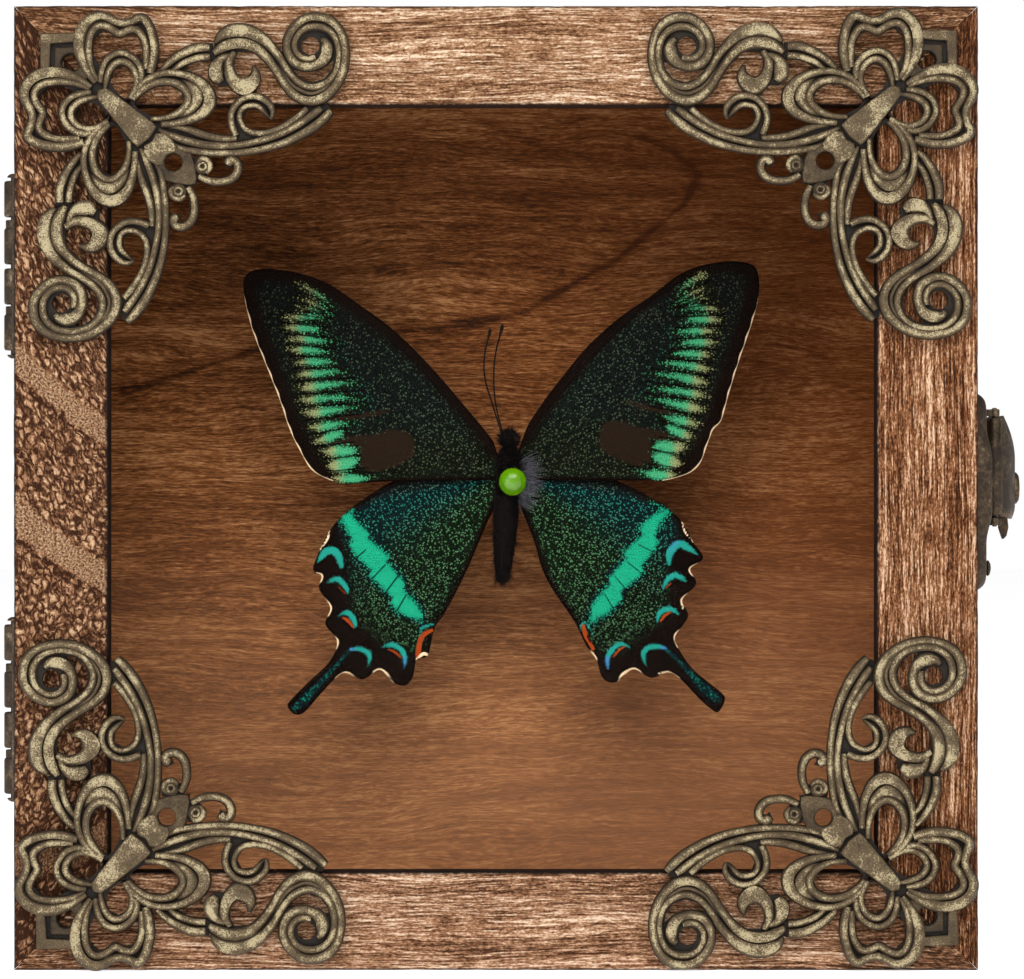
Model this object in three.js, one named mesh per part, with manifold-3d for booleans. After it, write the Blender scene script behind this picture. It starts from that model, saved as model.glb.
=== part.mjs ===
// A square wooden display box with a glazed, hinged lid, cast filigree corners and one pinned
// swallowtail butterfly inside. Millimetres, +Z up, front towards -Y. The origin is the middle
// of the bottom face, on which the box stands.
import * as THREE from "three";
import { mergeVertices } from "three/addons/utils/BufferGeometryUtils.js";
import Module from "manifold-3d";

const wasm = await Module();
wasm.setup();

// Box
const boxSize = 150; // width and height
const boxDepth = 45;
const halfSize = boxSize / 2;
const lidFront = -boxDepth / 2;
const lidDepth = 14;
const seamGap = 0.3;
const lidBack = lidFront + lidDepth;
const trayFront = lidBack + seamGap;
const trayBack = boxDepth / 2;
const seamY = (lidBack + trayFront) / 2;
const railWidths = { left: 14.8, right: 15.9, top: 15.6, bottom: 15.4 };
const boardThickness = 8;
const edgeRound = 0.7; // worn edge of the lid rails
const mitreGap = 0.05; // at each side of a mitre joint

// Glass, held in a groove of the lid rails
const lipDepth = 4; // wood in front of the groove
const rearStep = 1.6; // the rail is narrower behind the groove, so only the lip shows from the front
const grooveWidth = 2.2;
const grooveDepth = 3;
const glassThickness = 2;
const fitGap = 0.1;

// Backing board, let into a rebate at the rear of the box
const backingThickness = 5;
const rebateDepth = 3;

// Corner castings
const castingThickness = 2;
const castingPivot = 13.76; // on the diagonal, from the outer corner of the lid
const pointsPerMark = 0.8; // outline points for each mark of a curved outline
const castingTolerance = 0.08; // how far its simplified outline may stray

// Hinges on the left side
const hingeHeights = { upper: 110.3, lower: 39.8 };
const hingeAxisX = -halfSize - 1.7;
const barrelRadius = 1.6;
const barrelBore = 0.85;
const hingePinRadius = 0.55;
const knuckleLength = 5.7;
const knuckleStarts = [-13.4, -6.1, 0.3, 7.8]; // from the middle of the hinge, lowest first
const neckRadius = 1.35; // narrower sleeve above each knuckle of the box leaf
const neckLength = 1.3;
const barrelSides = 10;
const hingeHalf = 14;
const leafThickness = 0.9;
const leafLength = 7;
const leafClearance = 0.35;

// Clasp on the right side
const claspHeight = 74.4;
const claspPlateHeight = 30.8;
const claspPlateWidth = 11.4;
const claspPlateThickness = 2.5;
const flapAxisX = halfSize + 3.9;
const flapAxisY = -11.2;
const flapBottom = 70.6;
const flapTop = 86;
const flapBarrelRadius = 1.1;
const flapBoreRadius = 0.65;
const flapThickness = 1.3;
const studRadius = 1.3;
const studHeight = 75;
const studY = 3;
const claspLidY = lidFront + 1.5 + claspPlateWidth / 2;
const claspBoxY = trayFront + 0.8 + claspPlateWidth / 2;

// Nail heads
const nailRadius = 1.25;
const nailRise = 0.6;

// Butterfly and pin
const forewingY = 1;
const hindwingY = 1.9;
const wingThickness = 0.4;
const touchGap = 0.3; // round a piece that another one passes through
const pinX = 2.6;
const pinZ = 76;
const pinRadius = 0.28;
const pinHeadRadius = 2.24;
const pinHeadY = -6;
const pinDepthInBacking = 3;

const materials = {
  lidWood: new THREE.MeshStandardMaterial({ color: 0x8f5f42, roughness: 0.72, metalness: 0 }),
  boxWood: new THREE.MeshStandardMaterial({ color: 0x7f5338, roughness: 0.74, metalness: 0 }),
  veneer: new THREE.MeshStandardMaterial({ color: 0x5b351b, roughness: 0.5, metalness: 0 }),
  glass: new THREE.MeshStandardMaterial({ color: 0xe8efec, roughness: 0.03, metalness: 0 }),
  brass: new THREE.MeshStandardMaterial({ color: 0x9a8f6c, roughness: 0.42, metalness: 0.9 }),
  iron: new THREE.MeshStandardMaterial({ color: 0x4d463e, roughness: 0.5, metalness: 0.85 }),
  wing: new THREE.MeshStandardMaterial({ color: 0x123322, roughness: 0.8, metalness: 0 }),
  fur: new THREE.MeshStandardMaterial({ color: 0x1c1712, roughness: 0.9, metalness: 0 }),
  steel: new THREE.MeshStandardMaterial({ color: 0xb9bcc0, roughness: 0.25, metalness: 1 }),
  pinHead: new THREE.MeshStandardMaterial({ color: 0x79c21c, roughness: 0.12, metalness: 0 }),
};

// A manifold-3d solid of a closed geometry.
function solidOf(geometry) {
  const bare = geometry.index ? geometry.toNonIndexed() : geometry.clone();
  bare.deleteAttribute("normal");
  bare.deleteAttribute("uv");
  const merged = mergeVertices(bare, 1e-4);
  return new wasm.Manifold(
    new wasm.Mesh({
      numProp: 3,
      vertProperties: merged.attributes.position.array,
      triVerts: new Uint32Array(merged.index.array),
    }),
  );
}

// The geometry of a manifold-3d solid.
function geometryOf(solid) {
  const mesh = solid.getMesh();
  const geometry = new THREE.BufferGeometry();
  geometry.setAttribute("position", new THREE.BufferAttribute(mesh.vertProperties, 3));
  geometry.setIndex(new THREE.BufferAttribute(mesh.triVerts, 1));
  geometry.computeVertexNormals();
  return geometry;
}

function addMesh(group, name, geometry, material) {
  const mesh = new THREE.Mesh(geometry, material);
  mesh.name = name;
  group.add(mesh);
  return mesh;
}

// Turns a flat outline, drawn in XY and extruded along Z, into a plate that faces the front:
// the outline lies in XZ and the thickness runs from y towards the front.
function faceFront(geometry, y) {
  return geometry.rotateX(Math.PI / 2).translate(0, y, 0);
}

function extrude(shape, depth) {
  return new THREE.ExtrudeGeometry(shape, { depth, bevelEnabled: false, steps: 1 });
}

// A closed outline through marks, either straight from mark to mark or as one smooth curve.
function straightShape(marks) {
  return new THREE.Shape(marks.map(([x, y]) => new THREE.Vector2(x, y)));
}

function curvedShape(marks) {
  const through = marks.map(([x, y]) => new THREE.Vector3(x, y, 0));
  const curve = new THREE.CatmullRomCurve3(through, true, "centripetal");
  const points = curve.getPoints(Math.round(marks.length * pointsPerMark));
  points.pop(); // the last point is the first again
  return new THREE.Shape(points.map((p) => new THREE.Vector2(p.x, p.y)));
}

// A cylinder between two heights of z, or along another axis when turned.
function rod(radius, length, sides = 12) {
  return new THREE.CylinderGeometry(radius, radius, length, sides);
}

function rodAlongZ(radius, x, y, z0, z1, sides = 12) {
  return rod(radius, z1 - z0, sides).rotateX(Math.PI / 2).translate(x, y, (z0 + z1) / 2);
}

function rodAlongY(radius, x, z, y0, y1, sides = 12) {
  return rod(radius, y1 - y0, sides).translate(x, (y0 + y1) / 2, z);
}

// Four mitred bars round a square. The section gives [distance from the outer face, y], and each
// end is cut so that the bar meets its neighbour from the outer to the inner corner.
function mitredBars(widths, section) {
  const bars = {};
  const sides = {
    top: { own: "top", before: "left", after: "right", turn: 0 },
    right: { own: "right", before: "top", after: "bottom", turn: 1 },
    bottom: { own: "bottom", before: "right", after: "left", turn: 2 },
    left: { own: "left", before: "bottom", after: "top", turn: 3 },
  };
  for (const [side, { own, before, after, turn }] of Object.entries(sides)) {
    const outline = straightShape(section(widths[own]).map(([inset, y]) => [-inset, -y]));
    const bar = extrude(outline, 1);
    const place = bar.getAttribute("position");
    for (let i = 0; i < place.count; i++) {
      const inset = -place.getX(i);
      const y = -place.getY(i);
      const atEnd = place.getZ(i) > 0.5;
      const cut = (inset * widths[atEnd ? after : before]) / widths[own];
      const x = (halfSize - cut - mitreGap) * (atEnd ? 1 : -1);
      place.setXYZ(i, x, y, halfSize - inset);
    }
    bar.rotateY((turn * Math.PI) / 2);
    bar.translate(0, 0, halfSize);
    bar.computeVertexNormals();
    bars[side] = bar;
  }
  return bars;
}

// The section of a lid rail, with worn front edges and the groove for the glass.
function railSection(width) {
  const r = edgeRound;
  const bend = r * (1 - Math.SQRT1_2);
  const grooveFront = lidFront + lipDepth;
  return [
    [0, lidFront + r],
    [bend, lidFront + bend],
    [r, lidFront],
    [width - r, lidFront],
    [width - bend, lidFront + bend],
    [width, lidFront + r],
    [width, grooveFront],
    [width - grooveDepth, grooveFront],
    [width - grooveDepth, grooveFront + grooveWidth],
    [width - rearStep, grooveFront + grooveWidth],
    [width - rearStep, lidBack],
    [0, lidBack],
  ];
}

// The section of a box board, with the rebate for the backing board at the rear.
function boardSection(width) {
  const rebateFront = trayBack - backingThickness - fitGap;
  return [
    [0, trayFront],
    [width, trayFront],
    [width, rebateFront],
    [width - rebateDepth, rebateFront],
    [width - rebateDepth, trayBack],
    [0, trayBack],
  ];
}

function makeBox() {
  const group = new THREE.Group();
  const thickness = boardThickness;
  const widths = { left: thickness, right: thickness, top: thickness, bottom: thickness };
  const boards = mitredBars(widths, boardSection);
  for (const [side, board] of Object.entries(boards)) {
    addMesh(group, `box_board_${side}`, board, materials.boxWood);
  }
  const backingSize = boxSize - 2 * (boardThickness - rebateDepth) - 2 * fitGap;
  const backing = new THREE.BoxGeometry(backingSize, backingThickness, backingSize);
  backing.translate(0, trayBack - backingThickness / 2, halfSize);
  const face = trayBack - backingThickness;
  const pinHole = rodAlongY(pinRadius + touchGap, pinX, pinZ, face - 1, face + pinDepthInBacking);
  const bored = solidOf(backing).subtract(solidOf(pinHole));
  addMesh(group, "backing_board", geometryOf(bored), materials.veneer);
  return group;
}

function makeLid() {
  const group = new THREE.Group();
  const rails = mitredBars(railWidths, railSection);
  for (const [side, rail] of Object.entries(rails)) {
    addMesh(group, `lid_rail_${side}`, rail, materials.lidWood);
  }
  const reach = grooveDepth - fitGap;
  const left = -halfSize + railWidths.left - reach;
  const right = halfSize - railWidths.right + reach;
  const bottom = railWidths.bottom - reach;
  const top = boxSize - railWidths.top + reach;
  const pane = new THREE.BoxGeometry(right - left, glassThickness, top - bottom);
  const paneY = lidFront + lipDepth + grooveWidth / 2;
  pane.translate((left + right) / 2, paneY, (top + bottom) / 2);
  addMesh(group, "glass_pane", pane, materials.glass);
  return group;
}

// One half of the filigree casting. Marks are [across, down] from the outer corner of the lid,
// and the other half is the same across the diagonal.
const castingCurves = [
  // upper wing of the butterfly motif
  [[13, 12.9], [11.2, 10.2], [10, 7.4], [9.9, 5], [10.7, 2.9], [12.5, 1.4], [14.2, 1.2], [15.7, 2],
    [17.3, 2.5], [18.8, 2.3], [20.4, 1.7], [21.7, 2.5], [22.4, 4.7], [22.8, 7.2], [22.6, 9.4],
    [21.7, 11.8], [19.6, 14.9], [16.8, 14.8]],
  // lower wing
  [[18.1, 15.5], [19.2, 13.3], [21, 11.4], [23.2, 10.5], [26, 10.6], [28.6, 11.4], [30.6, 13.1],
    [31.4, 15], [30.6, 16.9], [28.7, 18.4], [26.4, 19.2], [23.7, 19.4], [21.4, 19], [19.6, 17.4]],
  // strip from the wings to the scroll
  [[22.8, 10.6], [24.4, 8.8], [26.6, 7.3], [29, 6.5], [31.4, 6.5], [31.3, 8.9], [29.1, 9],
    [27.2, 9.5], [25.6, 10.7]],
  // long scroll and its coiled end
  [[30.9, 9.1], [31.2, 6.9], [32.8, 4.8], [35.3, 3.7], [37.8, 4.2], [40, 6.1], [41.9, 8.7],
    [42.4, 9.5], [42.3, 6.1], [43.7, 3.5], [46.4, 2.1], [49.3, 2.5], [51.4, 4.7], [52.3, 7.8],
    [51.8, 11.2], [50.2, 14.3], [47.4, 16.3], [44.8, 16], [42.5, 14.3], [40.8, 11.3], [38.6, 8.5],
    [35.8, 7.4], [33.5, 8]],
  // curled leaf under the scroll
  [[33.5, 7.2], [31.6, 8.9], [30.8, 10.8], [31.3, 12.7], [32.4, 13.2], [33.7, 13], [35, 14.5],
    [36.8, 14.7], [38.3, 12.8], [38.4, 11.1], [37.5, 9.6], [37.1, 11.1], [36.1, 12], [34.9, 11.8],
    [34.1, 10.5], [34.3, 8.8], [35.3, 7.2]],
  // hook that grows out of the long arm
  [[34.3, 21.3], [33.6, 18.6], [33.7, 16.8], [34.9, 15.3], [36.8, 14.4], [38.8, 14.7], [40.2, 16],
    [40.6, 17.5], [40.1, 18.6], [39, 17.7], [37.8, 16.7], [36.4, 16.6], [35.6, 17.7], [35.9, 19.2],
    [37.1, 20.3], [36.9, 21.3]],
  // long arm
  [[21.4, 18.7], [24.2, 19.1], [27.2, 19.1], [29.6, 20.1], [32.3, 20.7], [34.6, 20.9],
    [36.9, 20.4], [39.3, 20.1], [41.6, 19.3], [43.8, 17.9], [45.7, 16.2], [47.8, 16], [49.8, 16.8],
    [49.4, 18.3], [47.2, 20], [44.4, 21.6], [41.2, 22.8], [37.6, 23.6], [33.7, 24], [29.9, 23.8],
    [27.2, 23.3], [25.4, 22.7], [23.7, 21.2]],
  // ringed boss
  [[28, 24.1], [29.6, 23.7], [30.6, 24.5], [30.8, 25.6], [30.3, 26.6], [29.3, 27.2], [28, 27.2]],
  // thin curl
  [[27.3, 26.3], [29, 26.8], [30.7, 27.5], [32.4, 27.5], [33.8, 26.9], [34.3, 25.9], [34, 25.2],
    [33.5, 25.8], [32.8, 25.8], [32.7, 24.7], [33.5, 23.8], [34.7, 24.5], [35.3, 25.7],
    [34.9, 26.9], [33.9, 27.9], [32.1, 28.3], [29.9, 28], [28.2, 27.4], [27.1, 26.9]],
];

// Straight-edged plates of the same half, each closed along the diagonal.
const castingPlates = [
  // corner tab, as far as the middle of its nail hole
  [[4.4, 4.4], [10.4, 4.4], [10.4, 7.6], [9.1, 9.1]],
  // web between the two upper wings
  [[10, 10], [11.3, 9.4], [12.4, 11.8], [12.8, 12.8]],
  // body of the motif
  [[12.6, 12.6], [14.2, 12.7], [17.9, 15.6], [21.6, 18.1], [22.7, 19.2], [21.6, 21.6]],
  // leaf and screw plate at the tail
  [[20.2, 20.2], [22.1, 20.2], [24, 21.3], [25.3, 22.8], [27.4, 24], [28, 26], [28.4, 28.4]],
];

const castingHoles = [
  // heart-shaped opening of the upper wing
  [[13.5, 9.5], [12.6, 8.1], [12.5, 6.2], [13.1, 4.6], [14.6, 4], [15.8, 4.6], [16.7, 5.3],
    [17.7, 4.7], [19, 4.6], [19.9, 5.7], [20.4, 7.4], [20.4, 8.8], [19.5, 8.4], [18.4, 7.7],
    [17.1, 7.3], [15.6, 7.5], [14.4, 8.4]],
  // loop in the same wing
  [[17.1, 9.6], [18.3, 10], [19, 11.3], [19, 13], [18.3, 14.2], [17.4, 14.8], [16.2, 13.8],
    [15.2, 12.7], [15.2, 11.4], [15.9, 10]],
  // opening of the lower wing
  [[18.8, 15.6], [19.8, 14.2], [21.4, 13.2], [23.3, 12.8], [25.1, 13], [26.3, 14.1], [26.6, 15.2],
    [25.8, 16.4], [24.3, 17.3], [22.4, 17.6], [20.7, 17.2], [19.4, 16.3]],
  // crescent inside the coil
  [[43.5, 10.7], [44.4, 11.9], [45.8, 12.7], [47.4, 12.6], [48.8, 11.9], [49.7, 10.6], [50.1, 9],
    [49.1, 9.9], [47.7, 10.7], [45.8, 11]],
];

// Round holes: [across, down, radius].
const nailHoles = [
  [9.1, 9.1, 1.45],
  [24.8, 24.8, 1.43],
];
const coilHoles = [
  [46.3, 7, 1.48],
];

function makeCastingGeometry() {
  const across = ([a, b]) => [a, -b];
  const mirrored = ([a, b]) => [b, -a];
  const plateOf = (shape) => solidOf(extrude(shape, castingThickness));
  const cutterOf = (shape) => solidOf(extrude(shape, castingThickness + 2).translate(0, 0, -1));
  const roundOf = (a, b, r) => {
    const hole = rod(r, castingThickness + 2, 12).rotateX(Math.PI / 2);
    return solidOf(hole.translate(a, -b, castingThickness / 2));
  };
  let body = null;
  for (const place of [across, mirrored]) {
    const pieces = [
      ...castingCurves.map((marks) => plateOf(curvedShape(marks.map(place)))),
      ...castingPlates.map((marks) => plateOf(straightShape(marks.map(place)))),
    ];
    for (const piece of pieces) {
      body = body ? body.add(piece) : piece;
    }
  }
  for (const place of [across, mirrored]) {
    for (const marks of castingHoles) {
      body = body.subtract(cutterOf(curvedShape(marks.map(place))));
    }
  }
  for (const [a, b, r] of nailHoles) {
    body = body.subtract(roundOf(a, b, r));
  }
  for (const [a, b, r] of coilHoles) {
    body = body.subtract(roundOf(a, b, r)).subtract(roundOf(b, a, r));
  }
  // the flat faces that the joins left in many pieces become single faces again
  const oneBody = body.asOriginal().simplify(castingTolerance);
  return faceFront(geometryOf(oneBody), lidFront);
}

// The same casting on each corner, set by hand: quarter turns from the top left corner, then its
// own small turn in degrees and shift [across, down] in its own frame.
const castingPlaces = {
  top_left: { quarters: 0, turn: 1, shift: [0, -0.1] },
  top_right: { quarters: 1, turn: -0.3, shift: [-0.5, -0.9] },
  bottom_right: { quarters: 2, turn: 1.7, shift: [-0.9, -0.6] },
  bottom_left: { quarters: 3, turn: 0.3, shift: [-0.9, -0.8] },
};

function makeCastings() {
  const group = new THREE.Group();
  const middle = new THREE.Group();
  middle.position.set(0, 0, halfSize);
  group.add(middle);
  for (const [corner, { quarters, turn, shift }] of Object.entries(castingPlaces)) {
    const quarterTurn = new THREE.Group();
    quarterTurn.rotation.y = (quarters * Math.PI) / 2;
    const ownTurn = new THREE.Group();
    ownTurn.position.set(-halfSize + castingPivot + shift[0], 0, halfSize - castingPivot - shift[1]);
    ownTurn.rotation.y = -THREE.MathUtils.degToRad(turn);
    const geometry = makeCastingGeometry().translate(-castingPivot, 0, castingPivot);
    addMesh(ownTurn, `corner_casting_${corner}`, geometry, materials.brass);
    quarterTurn.add(ownTurn);
    middle.add(quarterTurn);
  }
  return group;
}

// A hinge leaf: a plate on the side of the box or lid, with a tongue to each of its knuckles.
// side is -1 for the lid, in front of the seam, and 1 for the box behind it.
function makeLeaf(side, middleZ, starts, neck) {
  const near = seamY + side * (barrelRadius + leafClearance);
  const far = near + side * leafLength;
  const plate = new THREE.BoxGeometry(leafThickness, Math.abs(far - near), 2 * hingeHalf);
  plate.translate(-halfSize - leafThickness / 2, (near + far) / 2, middleZ);
  let leaf = solidOf(plate);
  for (const start of starts) {
    const z0 = middleZ + start;
    const z1 = z0 + knuckleLength;
    const inner = seamY + side * barrelRadius * 0.6;
    const tongue = new THREE.BoxGeometry(leafThickness, Math.abs(near - inner) + 0.4, z1 - z0);
    tongue.translate(-halfSize - leafThickness / 2 - fitGap, (near + inner) / 2, (z0 + z1) / 2);
    const barrel = rodAlongZ(barrelRadius, hingeAxisX, seamY, z0, z1, barrelSides);
    leaf = leaf.add(solidOf(tongue)).add(solidOf(barrel));
    if (neck > 0) {
      const sleeve = rodAlongZ(neckRadius, hingeAxisX, seamY, z1 - 0.5, z1 + neck, barrelSides);
      leaf = leaf.add(solidOf(sleeve));
    }
  }
  const [low, high] = [middleZ - hingeHalf - 5, middleZ + hingeHalf + 5];
  const bore = rodAlongZ(barrelBore, hingeAxisX, seamY, low, high, barrelSides);
  return geometryOf(leaf.subtract(solidOf(bore)));
}

function makeHinge(name, middleZ) {
  const group = new THREE.Group();
  const [first, second, third, fourth] = knuckleStarts;
  const boxLeaf = makeLeaf(1, middleZ, [first, third], neckLength);
  const lidLeaf = makeLeaf(-1, middleZ, [second, fourth], 0);
  addMesh(group, `hinge_${name}_box_leaf`, boxLeaf, materials.iron);
  addMesh(group, `hinge_${name}_lid_leaf`, lidLeaf, materials.iron);
  const low = middleZ - hingeHalf;
  const high = middleZ + hingeHalf;
  const headThickness = 0.5;
  const headRadius = 1.1;
  const shaft = rodAlongZ(hingePinRadius, hingeAxisX, seamY, low - 0.3, high + 0.3, 8);
  let pin = solidOf(shaft);
  for (const z of [low - 0.1 - headThickness, high + 0.1]) {
    const head = rodAlongZ(headRadius, hingeAxisX, seamY, z, z + headThickness, barrelSides);
    pin = pin.add(solidOf(head));
  }
  addMesh(group, `hinge_${name}_pin`, geometryOf(pin), materials.iron);
  return group;
}

// A domed nail head lying on a face at x, its dome towards side (-1 left, 1 right).
function makeNailHead(x, y, z, side) {
  const profile = [
    new THREE.Vector2(0, 0),
    new THREE.Vector2(nailRadius, 0),
    new THREE.Vector2(nailRadius * 0.8, nailRise * 0.7),
    new THREE.Vector2(0, nailRise),
  ];
  const head = new THREE.LatheGeometry(profile, 8);
  head.rotateZ((-side * Math.PI) / 2);
  head.translate(x, y, z);
  return head;
}

function makeNails() {
  const group = new THREE.Group();
  const leafFace = -halfSize - leafThickness;
  const leafMiddle = barrelRadius + leafClearance + leafLength / 2;
  for (const [name, middleZ] of Object.entries(hingeHeights)) {
    for (const [part, side] of Object.entries({ lid: -1, box: 1 })) {
      for (const [end, offset] of Object.entries({ low: -8.5, high: 8.5 })) {
        const head = makeNailHead(leafFace, seamY + side * leafMiddle, middleZ + offset, -1);
        addMesh(group, `hinge_nail_${name}_${part}_${end}`, head, materials.iron);
      }
    }
  }
  const claspFace = halfSize + claspPlateThickness;
  for (const [part, y] of Object.entries({ lid: claspLidY, box: claspBoxY })) {
    for (const [end, offset] of Object.entries({ low: -12, high: 12 })) {
      const head = makeNailHead(claspFace, y, claspHeight + offset, 1);
      addMesh(group, `clasp_nail_${part}_${end}`, head, materials.iron);
    }
  }
  return group;
}

// An embossed plate on the right side: rounded corners, and edges that slope up to a flat middle.
function makeClaspPlate(middleY) {
  const slope = 1.2;
  const halfWidth = claspPlateWidth / 2 - slope;
  const halfHeight = claspPlateHeight / 2 - slope;
  const corner = 2.5;
  const shape = new THREE.Shape();
  shape.moveTo(-halfWidth, -halfHeight + corner);
  shape.lineTo(-halfWidth, halfHeight - corner);
  shape.quadraticCurveTo(-halfWidth, halfHeight, -halfWidth + corner, halfHeight);
  shape.lineTo(halfWidth - corner, halfHeight);
  shape.quadraticCurveTo(halfWidth, halfHeight, halfWidth, halfHeight - corner);
  shape.lineTo(halfWidth, -halfHeight + corner);
  shape.quadraticCurveTo(halfWidth, -halfHeight, halfWidth - corner, -halfHeight);
  shape.lineTo(-halfWidth + corner, -halfHeight);
  shape.quadraticCurveTo(-halfWidth, -halfHeight, -halfWidth, -halfHeight + corner);
  const plate = new THREE.ExtrudeGeometry(shape, {
    depth: 0.6,
    bevelThickness: claspPlateThickness - 0.6,
    bevelSize: slope,
    bevelSegments: 2,
    curveSegments: 2,
  });
  // only the half with the front slope stays: the rear lies flat on the wood
  const behind = new THREE.BoxGeometry(60, 60, 10).translate(0, 0, -5);
  const embossed = solidOf(plate).subtract(solidOf(behind));
  const geometry = geometryOf(embossed);
  geometry.rotateX(Math.PI / 2);
  geometry.rotateZ(Math.PI / 2);
  geometry.translate(halfSize, middleY, claspHeight);
  return geometry;
}

function makeClasp() {
  const group = new THREE.Group();
  const face = halfSize + claspPlateThickness;

  // plate on the lid with two lugs for the flap
  let lidPlate = solidOf(makeClaspPlate(claspLidY));
  const lugLength = 1.2;
  for (const z of [flapBottom - 0.3 - lugLength, flapTop + 0.3]) {
    const lug = rodAlongZ(flapBarrelRadius, flapAxisX, flapAxisY, z, z + lugLength);
    const foot = new THREE.BoxGeometry(flapAxisX - face + 0.6, 1.6, lugLength);
    foot.translate((flapAxisX + face - 0.6) / 2, flapAxisY, z + lugLength / 2);
    lidPlate = lidPlate.add(solidOf(foot)).add(solidOf(lug));
  }
  const pinBore = rodAlongZ(flapBoreRadius, flapAxisX, flapAxisY, flapBottom - 5, flapTop + 5);
  lidPlate = lidPlate.subtract(solidOf(pinBore));
  addMesh(group, "clasp_lid_plate", geometryOf(lidPlate), materials.iron);

  const pinEnd = 0.3 + lugLength + 0.2;
  const pin = rodAlongZ(0.4, flapAxisX, flapAxisY, flapBottom - pinEnd, flapTop + pinEnd, 10);
  addMesh(group, "clasp_pin", pin, materials.iron);

  // plate on the box with the stud that sits in the fork of the flap
  const stud = rod(studRadius, 5.2, 10).rotateZ(Math.PI / 2);
  stud.translate(face - 0.4 + 2.6, studY, studHeight);
  const boxPlate = solidOf(makeClaspPlate(claspBoxY)).add(solidOf(stud));
  addMesh(group, "clasp_box_plate", geometryOf(boxPlate), materials.iron);

  addMesh(group, "clasp_flap", makeFlap(), materials.iron);
  return group;
}

// The flap bows out from its barrel over the seam. Its end is a fork, open to the rear, and it
// carries a round grip and a small bent tail at its lower edge.
function makeFlap() {
  const bow = new THREE.CatmullRomCurve3(
    [
      [flapAxisX, flapAxisY + 0.2],
      [flapAxisX + 1.7, flapAxisY + 2.4],
      [flapAxisX + 2.9, flapAxisY + 6],
      [flapAxisX + 3, flapAxisY + 10],
      [flapAxisX + 1.9, flapAxisY + 14],
      [flapAxisX + 0.6, flapAxisY + 17],
    ].map(([x, y]) => new THREE.Vector3(x, y, 0)),
  );
  const steps = 8;
  const outer = [];
  const inner = [];
  for (let i = 0; i <= steps; i++) {
    const at = bow.getPoint(i / steps);
    const along = bow.getTangent(i / steps);
    const off = flapThickness / 2;
    outer.push([at.x + along.y * off, at.y - along.x * off]);
    inner.unshift([at.x - along.y * off, at.y + along.x * off]);
  }
  const strip = extrude(straightShape([...outer, ...inner]), flapTop - flapBottom);
  strip.translate(0, 0, flapBottom);
  const barrel = rodAlongZ(flapBarrelRadius, flapAxisX, flapAxisY, flapBottom, flapTop);
  const bore = rodAlongZ(flapBoreRadius, flapAxisX, flapAxisY, flapBottom - 1, flapTop + 1);

  const forkHalf = studRadius + 1;
  const forkStart = studY - studRadius - 1.2;
  const fork = new THREE.BoxGeometry(20, 20, 2 * forkHalf);
  fork.translate(flapAxisX, forkStart + 10, studHeight);

  const gripRadius = 2.6;
  const grip = rod(gripRadius, 1.6, 14).rotateZ(Math.PI / 2);
  grip.translate(flapAxisX + 3.8, flapAxisY + 8, studHeight);

  const tailShape = straightShape([
    [0.6, 0.6], [1.9, 0.8], [2.2, -1.8], [1.9, -3.2], [1.4, -3.7], [0.8, -1.9], [0.9, -1],
  ]);
  const tail = faceFront(extrude(tailShape, 2.4), flapAxisY + 5.4);
  tail.translate(flapAxisX + 0.4, 0, flapBottom);

  const flap = solidOf(strip)
    .add(solidOf(barrel))
    .subtract(solidOf(bore))
    .subtract(solidOf(fork))
    .add(solidOf(grip))
    .add(solidOf(tail));
  return geometryOf(flap);
}

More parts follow.
